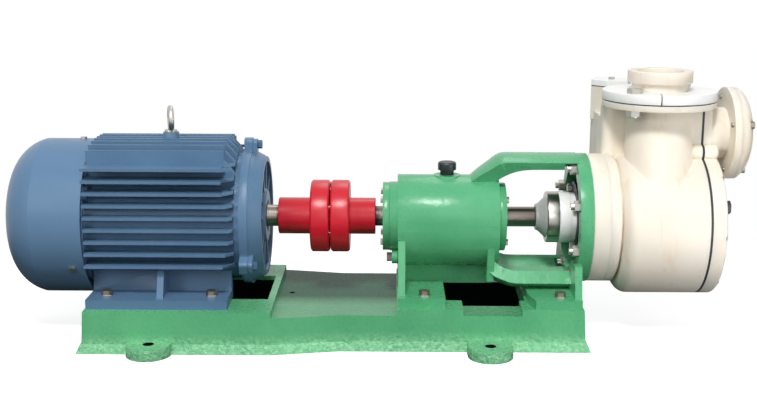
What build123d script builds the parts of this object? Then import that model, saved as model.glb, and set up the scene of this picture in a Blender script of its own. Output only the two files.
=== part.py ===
from build123d import *
from math import cos, radians, sin, sqrt
import os

os.makedirs("parts", exist_ok=True)

# Horizontal self-priming plastic pump, driven by a foot-mounted electric motor through a flexible
# coupling, all on one cast base plate. Millimetres. +X runs along the shaft from the motor to the
# pump, +Z is up, and the side that faces the viewer is -Y. The origin is on the floor, under the
# shaft, in the middle of the four anchor holes.

# Clearances
seat_gap = 0.02          # a ring pressed on a shaft or into a housing
body_gap = 0.3           # curved or flat faces of a turning piece and a standing one
bolt_gap = 0.5           # round a bolt in a plain hole
thread_gap = 0.05        # round a bolt in its tapped hole

# Heights
base_height = 70
motor_centre_height = 132
axis_z = base_height + motor_centre_height

# Screws: M6 and M8 hexagon screws, and M8 socket screws, each of one length
small_radius = 3
small_length = 22
small_flats = 10
small_head = 4
medium_radius = 4
medium_length = 20
medium_flats = 13
medium_head = 8
socket_length = 30
socket_head = 8

# Base plate
base_left = -400
base_right = 448
motor_half_width = 158
pump_half_width = 136
taper_start = -82
taper_end = 30
base_draft = 3
deck_drop = 10
deck_thickness = 14
base_wall = 13
lip_height = 15
lip_overhang = 8
lip_slope = 24
anchor_spacing_x = 570
anchor_spacing_y = 330
anchor_hole_radius = 9
ear_radius = 38
ear_height = 18
window_half_width = 75
motor_window_left = -330
window_left = 150
window_right = 350
deck_rib = 12
deck_hole_radius = 5
deck_hole_x = -58
pad_notch_left = 241
pad_notch_right = 340

# Motor frame, of the 132 M size
shoulder_x = -97
foot_hole_offset = 89
foot_hole_length = 178
foot_hole_width = 216
foot_bolt_radius = 5
foot_bolt_flats = 16
foot_bolt_head = 7
foot_thickness = 16
foot_half_width = 140
foot_overhang = 30
foot_inner = 68
frame_front = shoulder_x - 26
frame_rear = shoulder_x - 308
bore_radius = 105
barrel_radius = 110
frame_ring_radius = 119
frame_ring_length = 14
fin_thickness = 5
fin_pitch = 20.7
fin_reach_side = 129
fin_reach_top = 140
fin_top_fall = 11
fins_across = 4
fins_up = 5
fins_down = 3
fin_margin = 9
fin_end_slope = 26
lug_circle_radius = 127
rear_lug_circle = 114
rear_lug_turn = 60
lug_width = 26
lug_length = 14
lug_angles = (0, 120, 240)
lug_hole_depth = 26
eye_x = shoulder_x - 169
eye_pad_height = 8
eye_pad_radius = 14

# Motor inside
shaft_radius = 19
shaft_extension = 80
journal_radius = 20
rotor_radius = 60
air_gap = 0.5
core_length = 150
core_centre_x = -270
winding_length = 30
winding_inner = 66
winding_outer = 98
fan_shaft_radius = 17
fan_radius = 104
fan_blades = 8
fan_width = 34
fan_hub_radius = 27

# Ball bearings, four of one size
bearing_bore = journal_radius
bearing_radius = 45
bearing_width = 23
race_thickness = 6.5
ball_radius = 7.2
ball_count = 8
pitch_radius = (bearing_bore + bearing_radius) / 2

# Fan cowl
cowl_radius = 135
cowl_sheet = 2.5
cowl_rim_x = -398
cowl_shoulder_x = -485
cowl_dome_depth = 55
cowl_dome_bulge = 15.5
cowl_face_radius = 65
cowl_ring_count = 3
cowl_spokes = 8

# Coupling
hub_start_x = shoulder_x + 18
hub_length = 90
hub_radius = 32
flange_length = 33
coupling_radius = 63.4
coupling_gap = 2
pump_hub_length = 78
pump_stub_radius = 16
pin_circle_radius = 46
pin_count = 6
pin_radius = 5
bush_radius = 9
pin_depth = 20

# Bearing bracket
cover_gap = 13
cover_thickness = 12
neck_length = 14
neck_radius = 61
housing_length = 175
housing_radius = 74
sump_drop = 12
cover_radius = 60
arm_length = 131
flange_thickness = 22
flange_radius = 113
flange_bore = 89
stud_circle_radius = 101
stud_count = 8
stud_radius = 6
rear_foot_inset = 1
rear_foot_length = 80
rear_foot_half_width = 120
front_foot_overlap = 5
front_foot_length = 88
front_foot_half_width = 130
bracket_foot_thickness = 16
rear_bolt_inset = 45
rear_bolt_y = 100
front_bolt_inset = 53
front_bolt_y = 106
filler_inset = 86
side_rib_drop = 62

# Shaft seal
seal_cone_length = 18
clamp_length = 21
rotary_length = 20
seat_length = 14
seal_radius = 45
seal_hub_length = 12.7
pump_shaft_radius = 17.5
clamp_screw_angle = 126

# Plastic pump casing
backing_thickness = 6
rear_cover_length = 29
rear_cover_radius = 112
body_neck_length = 22
drum_radius = 124
drum_drop = 8
drum_length = 141
casing_wall = 15
gasket_thickness = 4
front_cover_length = 25
cover_plate = 13
eye_radius = 36
partition_gap = 23
partition_thickness = 12
tower_top = 400
tower_inset = 1
tower_length = 57
tower_front = 8
tower_depth = 150
tower_drop = 25
ridge_depth = 52
tower_root_depth = 110
chimney_turn = 10
chimney_corner = 38.1
chimney_rise = 20.5
chimney_left = 33
chimney_y = 125
chimney_bore = 22
neck_offset = 93
neck_radius_top = 55
column_half_width = 62
column_depth = 68
column_drop = 16
passage_width = 13
throat_half_width = 28
throat_length = 18
extension_length = 50
extension_rim = 13
extension_drop = 5
split_boss_rise = 8
split_boss_radius = 13
split_boss_gap = 2.5
split_boss_length = 19
split_boss_round = 8

# Discharge
discharge_flange_radius = 97
discharge_flange_thickness = 10
discharge_bore = 40
discharge_bolt_circle = 75
ring_thickness = 15
stub_pipe_radius = 47.5
stub_collar_radius = 55
stub_neck_length = 14
stub_collar_length = 20
lap_radius = 62
lap_thickness = 5
flange_bolt_radius = 8
flange_bolt_flats = 24
flange_bolt_head = 8

# Suction
suction_drop = 50
suction_y = 20
suction_radius = 80
suction_bore = 32.5
nozzle_wall = 12
suction_flange_gap = 20
suction_flange_length = 13
suction_bolt_circle = 65
cap_rim = 6
cap_dome = 25
cap_wall = 6

# Priming lid
lid_thickness = 10
lid_gasket = 1.5
lid_thread_length = 25

# Impeller
impeller_gap = 13
impeller_radius = 92
impeller_disc = 7
blade_height = 30
blade_count = 5
blade_thickness = 7
impeller_hub_radius = 27
impeller_bore = 14

# Terminal box, on the side away from the viewer
terminal_x = -215
terminal_z = axis_z + 12
terminal_length = 116
terminal_height = 104
terminal_seat_y = 133
terminal_depth = 56
terminal_wall = 4
terminal_cover = 8
gland_flats = 27
gland_bore = 8
gland_thread_radius = 10
gland_collar_length = 8
gland_nut_length = 14

# Places that follow from the sizes above
front_hole_x = shoulder_x - foot_hole_offset
rear_hole_x = front_hole_x - foot_hole_length
deck_z = base_height - deck_drop
foot_top = base_height + foot_thickness
bracket_foot_top = base_height + bracket_foot_thickness
frame_length = frame_front - frame_rear
core_left = core_centre_x - core_length / 2
core_right = core_centre_x + core_length / 2
front_bearing_x = frame_front - 10
rear_bearing_x = frame_rear - 18
motor_flange_x = hub_start_x + hub_length - flange_length
coupling_face_x = hub_start_x + hub_length
pump_face_x = coupling_face_x + coupling_gap
pump_hub_end = pump_face_x + pump_hub_length
cover_x = pump_hub_end + cover_gap
neck_x_start = cover_x + cover_thickness
housing_x = neck_x_start + neck_length
housing_end = housing_x + housing_length
pump_bearing_1 = neck_x_start + 4
pump_bearing_2 = housing_end - 4 - bearing_width
flange_x = housing_end + arm_length
rear_cover_x = flange_x + flange_thickness
rear_foot_x = housing_x + rear_foot_inset
front_foot_x = flange_x + front_foot_overlap - front_foot_length
rear_bolt = (rear_foot_x + rear_bolt_inset, rear_bolt_y)
front_bolt = (front_foot_x + front_bolt_inset, front_bolt_y)
filler_x = housing_x + filler_inset
hub_face_x = rear_cover_x - seal_hub_length
seat_x = hub_face_x - seat_length
rotary_x = seat_x - body_gap - rotary_length
clamp_x = rotary_x - clamp_length
seal_x = clamp_x - seal_cone_length
body_x = rear_cover_x + rear_cover_length
drum_x = body_x + body_neck_length
drum_end_x = drum_x + drum_length
cover_face_x = drum_end_x + gasket_thickness
cover_end_x = cover_face_x + front_cover_length
suction_face_x = cover_end_x + suction_flange_gap + suction_flange_length
chamber_radius = rear_cover_radius - casing_wall
drum_z = axis_z - drum_drop
inner_radius = drum_radius - casing_wall
impeller_x = body_x + impeller_gap
pump_shaft_end = impeller_x + impeller_disc + blade_height
partition_x = pump_shaft_end + partition_gap
tower_left = body_x + tower_inset
tower_right = tower_left + tower_length
tower_back = tower_front + tower_depth
tower_roof = tower_top - tower_drop
chimney_x = body_x + chimney_left
chimney_top = tower_top + chimney_rise
neck_x = body_x + neck_offset
extension_left = drum_end_x - extension_length
extension_top = tower_top - extension_drop
extension_half_width = suction_bore + extension_rim
extension_y = (suction_y - extension_half_width, suction_y + extension_half_width)
riser_y = (suction_y - suction_bore, suction_y + suction_bore)
split_boss_places = []
for boss_y in (extension_y[0] - split_boss_gap, extension_y[1] + split_boss_gap):
    boss_height = split_boss_rise + sqrt(drum_radius**2 - boss_y**2)
    split_boss_places.append((boss_y, drum_z + boss_height))
suction_z = tower_top - suction_drop
ring_bottom = tower_top + discharge_flange_thickness + gasket_thickness / 2
ring_top = ring_bottom + ring_thickness
stub_collar_bottom = ring_top + stub_neck_length
stub_top = stub_collar_bottom + stub_collar_length
shaft_axis = Axis((0, 0, axis_z), (1, 0, 0))
drum_axis = Axis((0, 0, drum_z), (1, 0, 0))


def station(x):
    """The plane across the shaft at x: local x runs towards +Y, local y up, both from the shaft."""
    return Plane(origin=(x, 0, axis_z), x_dir=(0, 1, 0), z_dir=(1, 0, 0))


def axial_plane(angle):
    """The plane that holds the shaft at an angle from the top towards the viewer: local y is the radius."""
    turn = radians(angle)
    return Plane(origin=(0, 0, axis_z), x_dir=(1, 0, 0), z_dir=(0, -cos(turn), -sin(turn)))


def level(z, x=0, y=0):
    """A horizontal plane at height z, with its origin over (x, y)."""
    return Plane(origin=(x, y, z), x_dir=(1, 0, 0), z_dir=(0, 0, 1))


def facing(place, direction):
    """A plane at a place in space that faces a direction."""
    return Plane(origin=place, z_dir=direction)


def around(radius, count, start=0):
    """Places (y, z) spread evenly on a circle about the shaft, the first at start degrees from the top."""
    places = []
    for k in range(count):
        angle = radians(start + 360 * k / count)
        places.append((-radius * sin(angle), axis_z + radius * cos(angle)))
    return places


def disc(x_start, x_end, outer, inner=0, mode=Mode.ADD):
    """A disc or ring about the shaft between two stations."""
    with BuildSketch(station(x_start)) as face:
        Circle(outer)
        if inner > 0:
            Circle(inner, mode=Mode.SUBTRACT)
    extrude(face.sketch, amount=x_end - x_start, mode=mode)


def turned(points, mode=Mode.ADD):
    """A closed outline of (x, radius) points, turned about the shaft."""
    with BuildSketch(axial_plane(0)) as outline:
        with BuildLine():
            Polyline(*points, close=True)
        make_face()
    revolve(outline.sketch, axis=shaft_axis, mode=mode)


def curved_band(outer, inner, start, arc):
    """A curved band of the bracket, between two rows of (x, radius) places, that runs on to the flange."""
    flange_place = (flange_x + 4, outer[-1][1])
    with BuildSketch(axial_plane(start)) as band:
        with BuildLine():
            Spline(*outer, tangents=[(1, 0.8), (1, 0)])
            Polyline(outer[-1], flange_place, (flange_x + 4, inner[-1][1]), inner[-1])
            Spline(*inner, tangents=[(1, 1), (1, 0)])
            Line(inner[0], outer[0])
        make_face()
    revolve(band.sketch, axis=shaft_axis, revolution_arc=arc)


def rod(plane, radius, length, mode=Mode.ADD, inner=0):
    """A round rod, or a tube, that starts on a plane and runs along its normal."""
    with BuildSketch(plane) as end:
        Circle(radius)
        if inner > 0:
            Circle(inner, mode=Mode.SUBTRACT)
    extrude(end.sketch, amount=length, mode=mode)


def hexagon(plane, flats, length):
    """A hexagon bar of a width across flats, from a plane along its normal."""
    with BuildSketch(plane) as end:
        RegularPolygon(flats / 2, 6, major_radius=False)
    extrude(end.sketch, amount=length)


def hex_bolt(seat, radius, length, flats, head):
    """A hexagon bolt: its head stands on the seat, and its shank runs back behind it."""
    hexagon(seat, flats, head)
    rod(seat, radius, -length)


def cap_screw(seat, radius, length, head):
    """A socket head screw, its head on the seat, with the socket cut in its top."""
    rod(seat, 1.6 * radius, head)
    rod(seat, radius, -length)
    socket = seat.offset(head)
    with BuildSketch(socket) as recess:
        RegularPolygon(0.85 * radius, 6, major_radius=False)
    extrude(recess.sketch, amount=-head / 2, mode=Mode.SUBTRACT)


def block(x_range, y_range, z_range, mode=Mode.ADD):
    """A box between two limits on each axis."""
    centre_x = (x_range[0] + x_range[1]) / 2
    centre_y = (y_range[0] + y_range[1]) / 2
    with BuildSketch(level(z_range[0], centre_x, centre_y)) as floor:
        Rectangle(x_range[1] - x_range[0], y_range[1] - y_range[0])
    extrude(floor.sketch, amount=z_range[1] - z_range[0], mode=mode)


def cross_plate(x_start, x_end, points, mode=Mode.ADD):
    """A plate across the shaft, between two stations, of an outline of (y, z) points."""
    with BuildSketch(Plane(origin=(x_start, 0, 0), x_dir=(0, 1, 0), z_dir=(1, 0, 0))) as outline:
        with BuildLine():
            Polyline(*points, close=True)
        make_face()
    extrude(outline.sketch, amount=x_end - x_start, mode=mode)


# Base plate: one green casting, hollow below, with an anchor ear at each corner
anchor_places = []
for side_x in (-1, 1):
    for side_y in (-1, 1):
        anchor_places.append((side_x * anchor_spacing_x / 2, side_y * anchor_spacing_y / 2))
motor_bolt_places = []
for hole_x in (front_hole_x, rear_hole_x):
    for side in (-1, 1):
        motor_bolt_places.append((hole_x, side * foot_hole_width / 2))
bracket_bolt_places = []
for hole_x, hole_y in (rear_bolt, front_bolt):
    for side in (-1, 1):
        bracket_bolt_places.append((hole_x, side * hole_y))
base_outline = []
for side in (-1, 1):
    edge = [(base_left, motor_half_width), (taper_start, motor_half_width)]
    edge += [(taper_end, pump_half_width), (base_right, pump_half_width)]
    for x, y in edge[::-side]:
        base_outline.append((x, side * y))
cavities = [
    (base_left + base_wall + deck_rib, taper_start - deck_rib, motor_half_width - 2 * base_wall),
    (taper_start, window_left - 2 * deck_rib, pump_half_width - 2 * base_wall),
    (window_left - deck_rib, base_right - base_wall - deck_rib, pump_half_width - 2 * base_wall),
]
with BuildPart() as base_plate:
    with BuildSketch(level(0)):
        with BuildLine():
            Polyline(*base_outline, close=True)
        make_face()
    extrude(amount=base_height, taper=base_draft)
    with BuildSketch(level(0)):
        with BuildLine():
            Polyline(*base_outline, close=True)
        make_face()
        offset(amount=lip_overhang, kind=Kind.INTERSECTION)
    extrude(amount=lip_height, taper=lip_slope)
    with BuildSketch(level(0)):
        for x, y in anchor_places:
            with Locations((x, y)):
                Circle(ear_radius)
            with Locations((x, y - ear_radius / 2 if y > 0 else y + ear_radius / 2)):
                Rectangle(2 * ear_radius, ear_radius)
    extrude(amount=ear_height, taper=base_draft)
    across = (-motor_half_width, motor_half_width)
    block((taper_start, rear_foot_x - 2), across, (deck_z, base_height), Mode.SUBTRACT)
    for side in (-1, 1):
        notch = sorted((side * motor_half_width, side * window_half_width))
        block((pad_notch_left, pad_notch_right), notch, (deck_z, base_height), Mode.SUBTRACT)
    for left, right, half in cavities:
        block((left, right), (-half, half), (0, deck_z - deck_thickness), Mode.SUBTRACT)
    motor_window = (motor_window_left, taper_start - deck_rib)
    window_sides = (-window_half_width, window_half_width)
    block(motor_window, window_sides, (0, base_height), Mode.SUBTRACT)
    block((window_left, window_right), window_sides, (0, base_height), Mode.SUBTRACT)
    for x, y in anchor_places:
        rod(level(0, x, y), anchor_hole_radius, ear_height, Mode.SUBTRACT)
    for x, y in motor_bolt_places + bracket_bolt_places:
        rod(level(0, x, y), foot_bolt_radius + thread_gap, base_height, Mode.SUBTRACT)
    rod(level(0, deck_hole_x, 0), deck_hole_radius, base_height, Mode.SUBTRACT)
base_plate.part.label = "base_plate"
export_step(base_plate.part, "parts/base_plate.step")

# Motor frame: a finned barrel on two webs and feet, with three lugs at each end
with BuildPart() as motor_frame:
    with BuildSketch(station(frame_rear + fin_margin)):
        for k in range(-fins_down, fins_up + 1):
            with Locations((0, k * fin_pitch)):
                Rectangle(2 * fin_reach_side, fin_thickness)
        for k in range(-fins_across, fins_across + 1):
            fin_height = fin_reach_top - fin_top_fall * (abs(k) / fins_across) ** 3
            with Locations((k * fin_pitch, fin_height / 2)):
                Rectangle(fin_thickness, fin_height)
    extrude(amount=frame_length - 2 * fin_margin - frame_ring_length)
    slope_end = frame_front - frame_ring_length
    slope_start = slope_end - fin_end_slope
    turned(
        [
            (slope_start, fin_reach_top + fin_pitch),
            (slope_start, fin_reach_top),
            (slope_end, barrel_radius + 4),
            (slope_end, fin_reach_top + fin_pitch),
        ],
        Mode.SUBTRACT,
    )
    disc(frame_rear, frame_front, barrel_radius)
    disc(frame_front - frame_ring_length, frame_front, frame_ring_radius)
    disc(frame_rear, frame_rear + frame_ring_length / 2, frame_ring_radius)
    web_bottom = foot_inner + 12
    foot_range = (rear_hole_x - foot_overhang, front_hole_x + foot_overhang)
    for side in (-1, 1):
        foot_y = sorted((side * foot_inner, side * foot_half_width))
        block(foot_range, foot_y, (base_height, foot_top))
        web = [
            (side * foot_inner, base_height),
            (side * web_bottom, foot_top),
            (side * foot_inner, axis_z - barrel_radius / 2),
            (side * (foot_inner - 20), axis_z - barrel_radius / 2),
            (side * (foot_inner - 6), base_height),
        ]
        cross_plate(foot_range[0], foot_range[1], web)
        gusset = [
            (side * foot_inner, foot_top - 2),
            (side * (foot_half_width - 8), foot_top - 2),
            (side * (foot_half_width - 30), axis_z - foot_inner),
            (side * (foot_inner - 10), axis_z - foot_inner),
        ]
        cross_plate(eye_x - 10, eye_x + 1, gusset)
    eye_pad_bottom = barrel_radius - 10
    eye_pad_length = fin_reach_top + eye_pad_height - eye_pad_bottom
    rod(level(axis_z + eye_pad_bottom, eye_x), eye_pad_radius, eye_pad_length)
    for angle in lug_angles:
        front_lug = (frame_front - lug_length, lug_circle_radius, angle)
        rear_lug = (frame_rear, rear_lug_circle, angle + rear_lug_turn)
        for end_x, circle, turn in (front_lug, rear_lug):
            with BuildSketch(station(end_x)) as lug:
                with Locations(Rotation(0, 0, turn)):
                    with Locations((0, circle - 8)):
                        RectangleRounded(lug_width, lug_width + 12, 6)
            extrude(lug.sketch, amount=lug_length)
    duct_y = (barrel_radius - 25, terminal_seat_y)
    duct_z = (terminal_z - terminal_height / 2 + 8, terminal_z + terminal_height / 2 - 8)
    block((terminal_x - terminal_length / 2 + 8, terminal_x + terminal_length / 2 - 8), duct_y, duct_z)
    disc(frame_rear, frame_front, bore_radius, mode=Mode.SUBTRACT)
    rod(facing((terminal_x, terminal_seat_y, terminal_z), (0, -1, 0)), 18, 40, Mode.SUBTRACT)
    for x, y in motor_bolt_places:
        rod(level(base_height, x, y), foot_bolt_radius + bolt_gap, foot_thickness, Mode.SUBTRACT)
        rod(level(foot_top, x, y), foot_bolt_flats * 0.75, 30, Mode.SUBTRACT)
    eye_hole = level(axis_z + fin_reach_top + eye_pad_height, eye_x, 0)
    rod(eye_hole, foot_bolt_radius + thread_gap, -lug_hole_depth, Mode.SUBTRACT)
    for y, z in around(lug_circle_radius, 3):
        lug_hole = facing((frame_front, y, z), (-1, 0, 0))
        rod(lug_hole, medium_radius + thread_gap, lug_hole_depth, Mode.SUBTRACT)
    for y, z in around(rear_lug_circle, 3, rear_lug_turn):
        lug_hole = facing((frame_rear, y, z), (1, 0, 0))
        rod(lug_hole, medium_radius + thread_gap, lug_hole_depth, Mode.SUBTRACT)
motor_frame.part.label = "motor_frame"
export_step(motor_frame.part, "parts/motor_frame.step")

# Stator: a laminated ring in the frame with a ring of windings at each end
stator_inner = rotor_radius + air_gap
with BuildPart() as stator_core:
    disc(core_left, core_right, bore_radius - seat_gap, stator_inner)
stator_core.part.label = "stator_core"
export_step(stator_core.part, "parts/stator_core.step")

with BuildPart() as stator_windings:
    for start, end in ((core_left - winding_length, core_left), (core_right, core_right + winding_length)):
        disc(start, end, winding_outer, winding_inner)
    fillet(stator_windings.edges().filter_by(GeomType.CIRCLE), 5)
stator_windings.part.label = "stator_windings"
export_step(stator_windings.part, "parts/stator_windings.step")

# Motor shaft and rotor
fan_x = rear_bearing_x - fan_width - 10
with BuildPart() as motor_shaft:
    turned(
        [
            (fan_x - 8, 0),
            (fan_x - 8, fan_shaft_radius),
            (rear_bearing_x - 6, fan_shaft_radius),
            (rear_bearing_x - 6, journal_radius),
            (rear_bearing_x + bearing_width, journal_radius),
            (rear_bearing_x + bearing_width, journal_radius + 4),
            (front_bearing_x - bearing_width, journal_radius + 4),
            (front_bearing_x - bearing_width, journal_radius),
            (shoulder_x, journal_radius),
            (shoulder_x, shaft_radius),
            (shoulder_x + shaft_extension, shaft_radius),
            (shoulder_x + shaft_extension, 0),
        ]
    )
    key_slot_x = (shoulder_x + 22, shoulder_x + 72)
    block(key_slot_x, (-5, 5), (axis_z + shaft_radius - 5, axis_z + shaft_radius + 5), Mode.SUBTRACT)
motor_shaft.part.label = "motor_shaft"
export_step(motor_shaft.part, "parts/motor_shaft.step")

with BuildPart() as motor_coupling_key:
    block(key_slot_x, (-5, 5), (axis_z + shaft_radius - 5, axis_z + shaft_radius + 3))
motor_coupling_key.part.label = "motor_coupling_key"
export_step(motor_coupling_key.part, "parts/motor_coupling_key.step")

with BuildPart() as rotor_core:
    disc(core_left, core_right, rotor_radius, journal_radius + 4 + seat_gap)
    for start, end in ((core_left - 12, core_left), (core_right, core_right + 12)):
        disc(start, end, rotor_radius - 4, rotor_radius - 20)
rotor_core.part.label = "rotor_core"
export_step(rotor_core.part, "parts/rotor_core.step")


def outer_race(x):
    """The outer ring of a ball bearing that starts at station x."""
    disc(x, x + bearing_width, bearing_radius - seat_gap, bearing_radius - race_thickness)
    with BuildSketch(axial_plane(0)) as groove:
        with Locations((x + bearing_width / 2, pitch_radius)):
            Circle(ball_radius + body_gap)
    revolve(groove.sketch, axis=shaft_axis, mode=Mode.SUBTRACT)


def inner_race(x):
    """The inner ring of a ball bearing that starts at station x."""
    disc(x, x + bearing_width, bearing_bore + race_thickness, bearing_bore + seat_gap)
    with BuildSketch(axial_plane(0)) as groove:
        with Locations((x + bearing_width / 2, pitch_radius)):
            Circle(ball_radius + body_gap)
    revolve(groove.sketch, axis=shaft_axis, mode=Mode.SUBTRACT)


# Ball bearings: two in the motor's end shields, two in the bearing bracket
motor_bearings = (rear_bearing_x, front_bearing_x - bearing_width)
pump_bearings = (pump_bearing_1, pump_bearing_2)
with BuildPart() as bearing_outer_rings:
    for x in motor_bearings + pump_bearings:
        outer_race(x)
bearing_outer_rings.part.label = "bearing_outer_rings"
export_step(bearing_outer_rings.part, "parts/bearing_outer_rings.step")

with BuildPart() as motor_inner_rings:
    for x in motor_bearings:
        inner_race(x)
motor_inner_rings.part.label = "motor_inner_rings"
export_step(motor_inner_rings.part, "parts/motor_inner_rings.step")

with BuildPart() as pump_inner_rings:
    for x in pump_bearings:
        inner_race(x)
pump_inner_rings.part.label = "pump_inner_rings"
export_step(pump_inner_rings.part, "parts/pump_inner_rings.step")

with BuildPart() as bearing_balls:
    for x in motor_bearings + pump_bearings:
        for y, z in around(pitch_radius, ball_count):
            with Locations((x + bearing_width / 2, y, z)):
                Sphere(ball_radius)
bearing_balls.part.label = "bearing_balls"
export_step(bearing_balls.part, "parts/bearing_balls.step")

# End shields: the front one has a ribbed face inside a raised rim
shield_face_x = shoulder_x - 3
hub_outer = bearing_radius + 9
with BuildPart() as drive_end_shield:
    turned(
        [
            (frame_front - 6, 94),
            (frame_front - 6, bore_radius - seat_gap),
            (frame_front, bore_radius - seat_gap),
            (frame_front, frame_ring_radius - 3),
            (shield_face_x, 104),
            (shield_face_x, 96),
            (shield_face_x - 10, 94),
            (shield_face_x - 12, hub_outer),
            (shield_face_x + 1, hub_outer - 10),
            (shield_face_x + 1, journal_radius + 8),
            (front_bearing_x, journal_radius + 8),
            (front_bearing_x, bearing_radius),
            (front_bearing_x - bearing_width - 4, bearing_radius),
            (front_bearing_x - bearing_width - 4, hub_outer),
            (frame_front - 2, hub_outer),
            (frame_front + 2, 90),
        ]
    )
    for k in range(10):
        with BuildSketch(station(shield_face_x - 13)) as rib:
            with Locations(Rotation(0, 0, 36 * k + 18)):
                with Locations((0, 72)):
                    Rectangle(6, 50)
        extrude(rib.sketch, amount=10)
    for angle in lug_angles:
        with BuildSketch(station(frame_front)) as lug:
            with Locations(Rotation(0, 0, angle)):
                with Locations((0, lug_circle_radius - 8)):
                    RectangleRounded(lug_width - 4, lug_width + 8, 6)
        extrude(lug.sketch, amount=8)
    for y, z in around(lug_circle_radius, 3):
        rod(facing((frame_front - 5, y, z), (1, 0, 0)), medium_radius + bolt_gap, 30, Mode.SUBTRACT)
drive_end_shield.part.label = "drive_end_shield"
export_step(drive_end_shield.part, "parts/drive_end_shield.step")

cowl_screw_seats = []
for angle in lug_angles:
    turn = radians(angle)
    outward = (0, -sin(turn), cos(turn))
    place = (frame_rear - 14, -cowl_radius * sin(turn), axis_z + cowl_radius * cos(turn))
    cowl_screw_seats.append(facing(place, outward))
with BuildPart() as rear_end_shield:
    turned(
        [
            (frame_rear + 6, 94),
            (frame_rear + 6, bore_radius - seat_gap),
            (frame_rear, bore_radius - seat_gap),
            (frame_rear, frame_ring_radius - 3),
            (frame_rear - 8, frame_ring_radius - 6),
            (frame_rear - 8, hub_outer),
            (rear_bearing_x - 6, hub_outer - 4),
            (rear_bearing_x - 6, journal_radius + 1),
            (rear_bearing_x, journal_radius + 1),
            (rear_bearing_x, bearing_radius),
            (rear_bearing_x + bearing_width + 4, bearing_radius),
            (rear_bearing_x + bearing_width + 4, hub_outer),
            (frame_rear, 90),
        ]
    )
    for angle in lug_angles:
        with BuildSketch(station(frame_rear)) as lug:
            with Locations(Rotation(0, 0, angle + rear_lug_turn)):
                with Locations((0, rear_lug_circle - 4)):
                    Rectangle(lug_width - 4, lug_width)
        extrude(lug.sketch, amount=-8)
        with BuildSketch(station(frame_rear - 8)) as ear:
            with Locations(Rotation(0, 0, angle)):
                with Locations((0, cowl_radius - cowl_sheet - 12)):
                    Rectangle(16, 24 - 2 * body_gap)
        extrude(ear.sketch, amount=-12)
        with BuildSketch(station(frame_rear)) as arm:
            with Locations(Rotation(0, 0, angle)):
                with Locations((0, cowl_radius - cowl_sheet - 16)):
                    Rectangle(16, 32 - 2 * body_gap)
        extrude(arm.sketch, amount=-8)
    for y, z in around(rear_lug_circle, 3, rear_lug_turn):
        rod(facing((frame_rear + 5, y, z), (-1, 0, 0)), medium_radius + bolt_gap, 30, Mode.SUBTRACT)
    for seat in cowl_screw_seats:
        rod(seat, small_radius + thread_gap, -small_length - 3, Mode.SUBTRACT)
rear_end_shield.part.label = "rear_end_shield"
export_step(rear_end_shield.part, "parts/rear_end_shield.step")

# Cooling fan on the shaft's rear end
with BuildPart() as cooling_fan:
    disc(fan_x, fan_x + fan_width, fan_hub_radius, fan_shaft_radius + seat_gap)
    disc(fan_x + fan_width - 3, fan_x + fan_width, fan_radius - 20, fan_shaft_radius + seat_gap)
    for k in range(fan_blades):
        with BuildSketch(station(fan_x)) as blade:
            with Locations(Rotation(0, 0, 360 * k / fan_blades)):
                with Locations((0, (fan_radius + fan_hub_radius) / 2 - 2)):
                    Rectangle(3, fan_radius - fan_hub_radius + 2)
        extrude(blade.sketch, amount=fan_width)
cooling_fan.part.label = "cooling_fan"
export_step(cooling_fan.part, "parts/cooling_fan.step")

# Fan cowl: a domed sheet cover with a ring grille in its end, open towards the motor
cowl_end_x = cowl_shoulder_x - cowl_dome_depth
cowl_inner_end = cowl_end_x + cowl_sheet
with BuildPart() as fan_cowl:
    with BuildSketch(axial_plane(0)):
        with BuildLine():
            cowl_inside = cowl_radius - cowl_sheet
            Polyline((cowl_rim_x, cowl_inside), (cowl_rim_x, cowl_radius), (cowl_shoulder_x, cowl_radius))
            SagittaArc((cowl_shoulder_x, cowl_radius), (cowl_end_x, cowl_face_radius), -cowl_dome_bulge)
            Polyline((cowl_end_x, cowl_face_radius), (cowl_end_x, 0), (cowl_inner_end, 0))
            Line((cowl_inner_end, 0), (cowl_inner_end, cowl_face_radius))
            SagittaArc((cowl_shoulder_x, cowl_inside), (cowl_inner_end, cowl_face_radius), -cowl_dome_bulge)
            Line((cowl_shoulder_x, cowl_inside), (cowl_rim_x, cowl_inside))
        make_face()
    revolve(axis=shaft_axis)
    grille_inner = 22
    grille_step = 14
    grille_bar = 4
    for k in range(cowl_ring_count + 2):
        inner = grille_inner + k * grille_step
        with BuildSketch(station(cowl_end_x - 1)) as slot:
            Circle(inner + grille_step - grille_bar)
            Circle(inner, mode=Mode.SUBTRACT)
            with PolarLocations(0, cowl_spokes // 2):
                Rectangle(2 * cowl_radius, grille_bar, mode=Mode.SUBTRACT)
        extrude(slot.sketch, amount=cowl_dome_depth / 2, mode=Mode.SUBTRACT)
    for seat in cowl_screw_seats:
        rod(seat, small_radius + bolt_gap, -2 * cowl_sheet, Mode.SUBTRACT)
fan_cowl.part.label = "fan_cowl"
export_step(fan_cowl.part, "parts/fan_cowl.step")

# Lifting eye, turned a little away from square to the shaft
eye_seat = axis_z + fin_reach_top + eye_pad_height
eye_ring_radius = 18
eye_wire = 5
with BuildPart() as eye_bolt:
    rod(level(eye_seat, eye_x, 0), 11, 4)
    rod(level(eye_seat, eye_x, 0), foot_bolt_radius, -22)
    ring_plane = Plane(
        origin=(eye_x, 0, eye_seat + eye_ring_radius + eye_wire + 1),
        z_dir=(cos(radians(14)), sin(radians(14)), 0),
    )
    with Locations(ring_plane.location):
        Torus(eye_ring_radius, eye_wire)
eye_bolt.part.label = "eye_bolt"
export_step(eye_bolt.part, "parts/eye_bolt.step")

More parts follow.
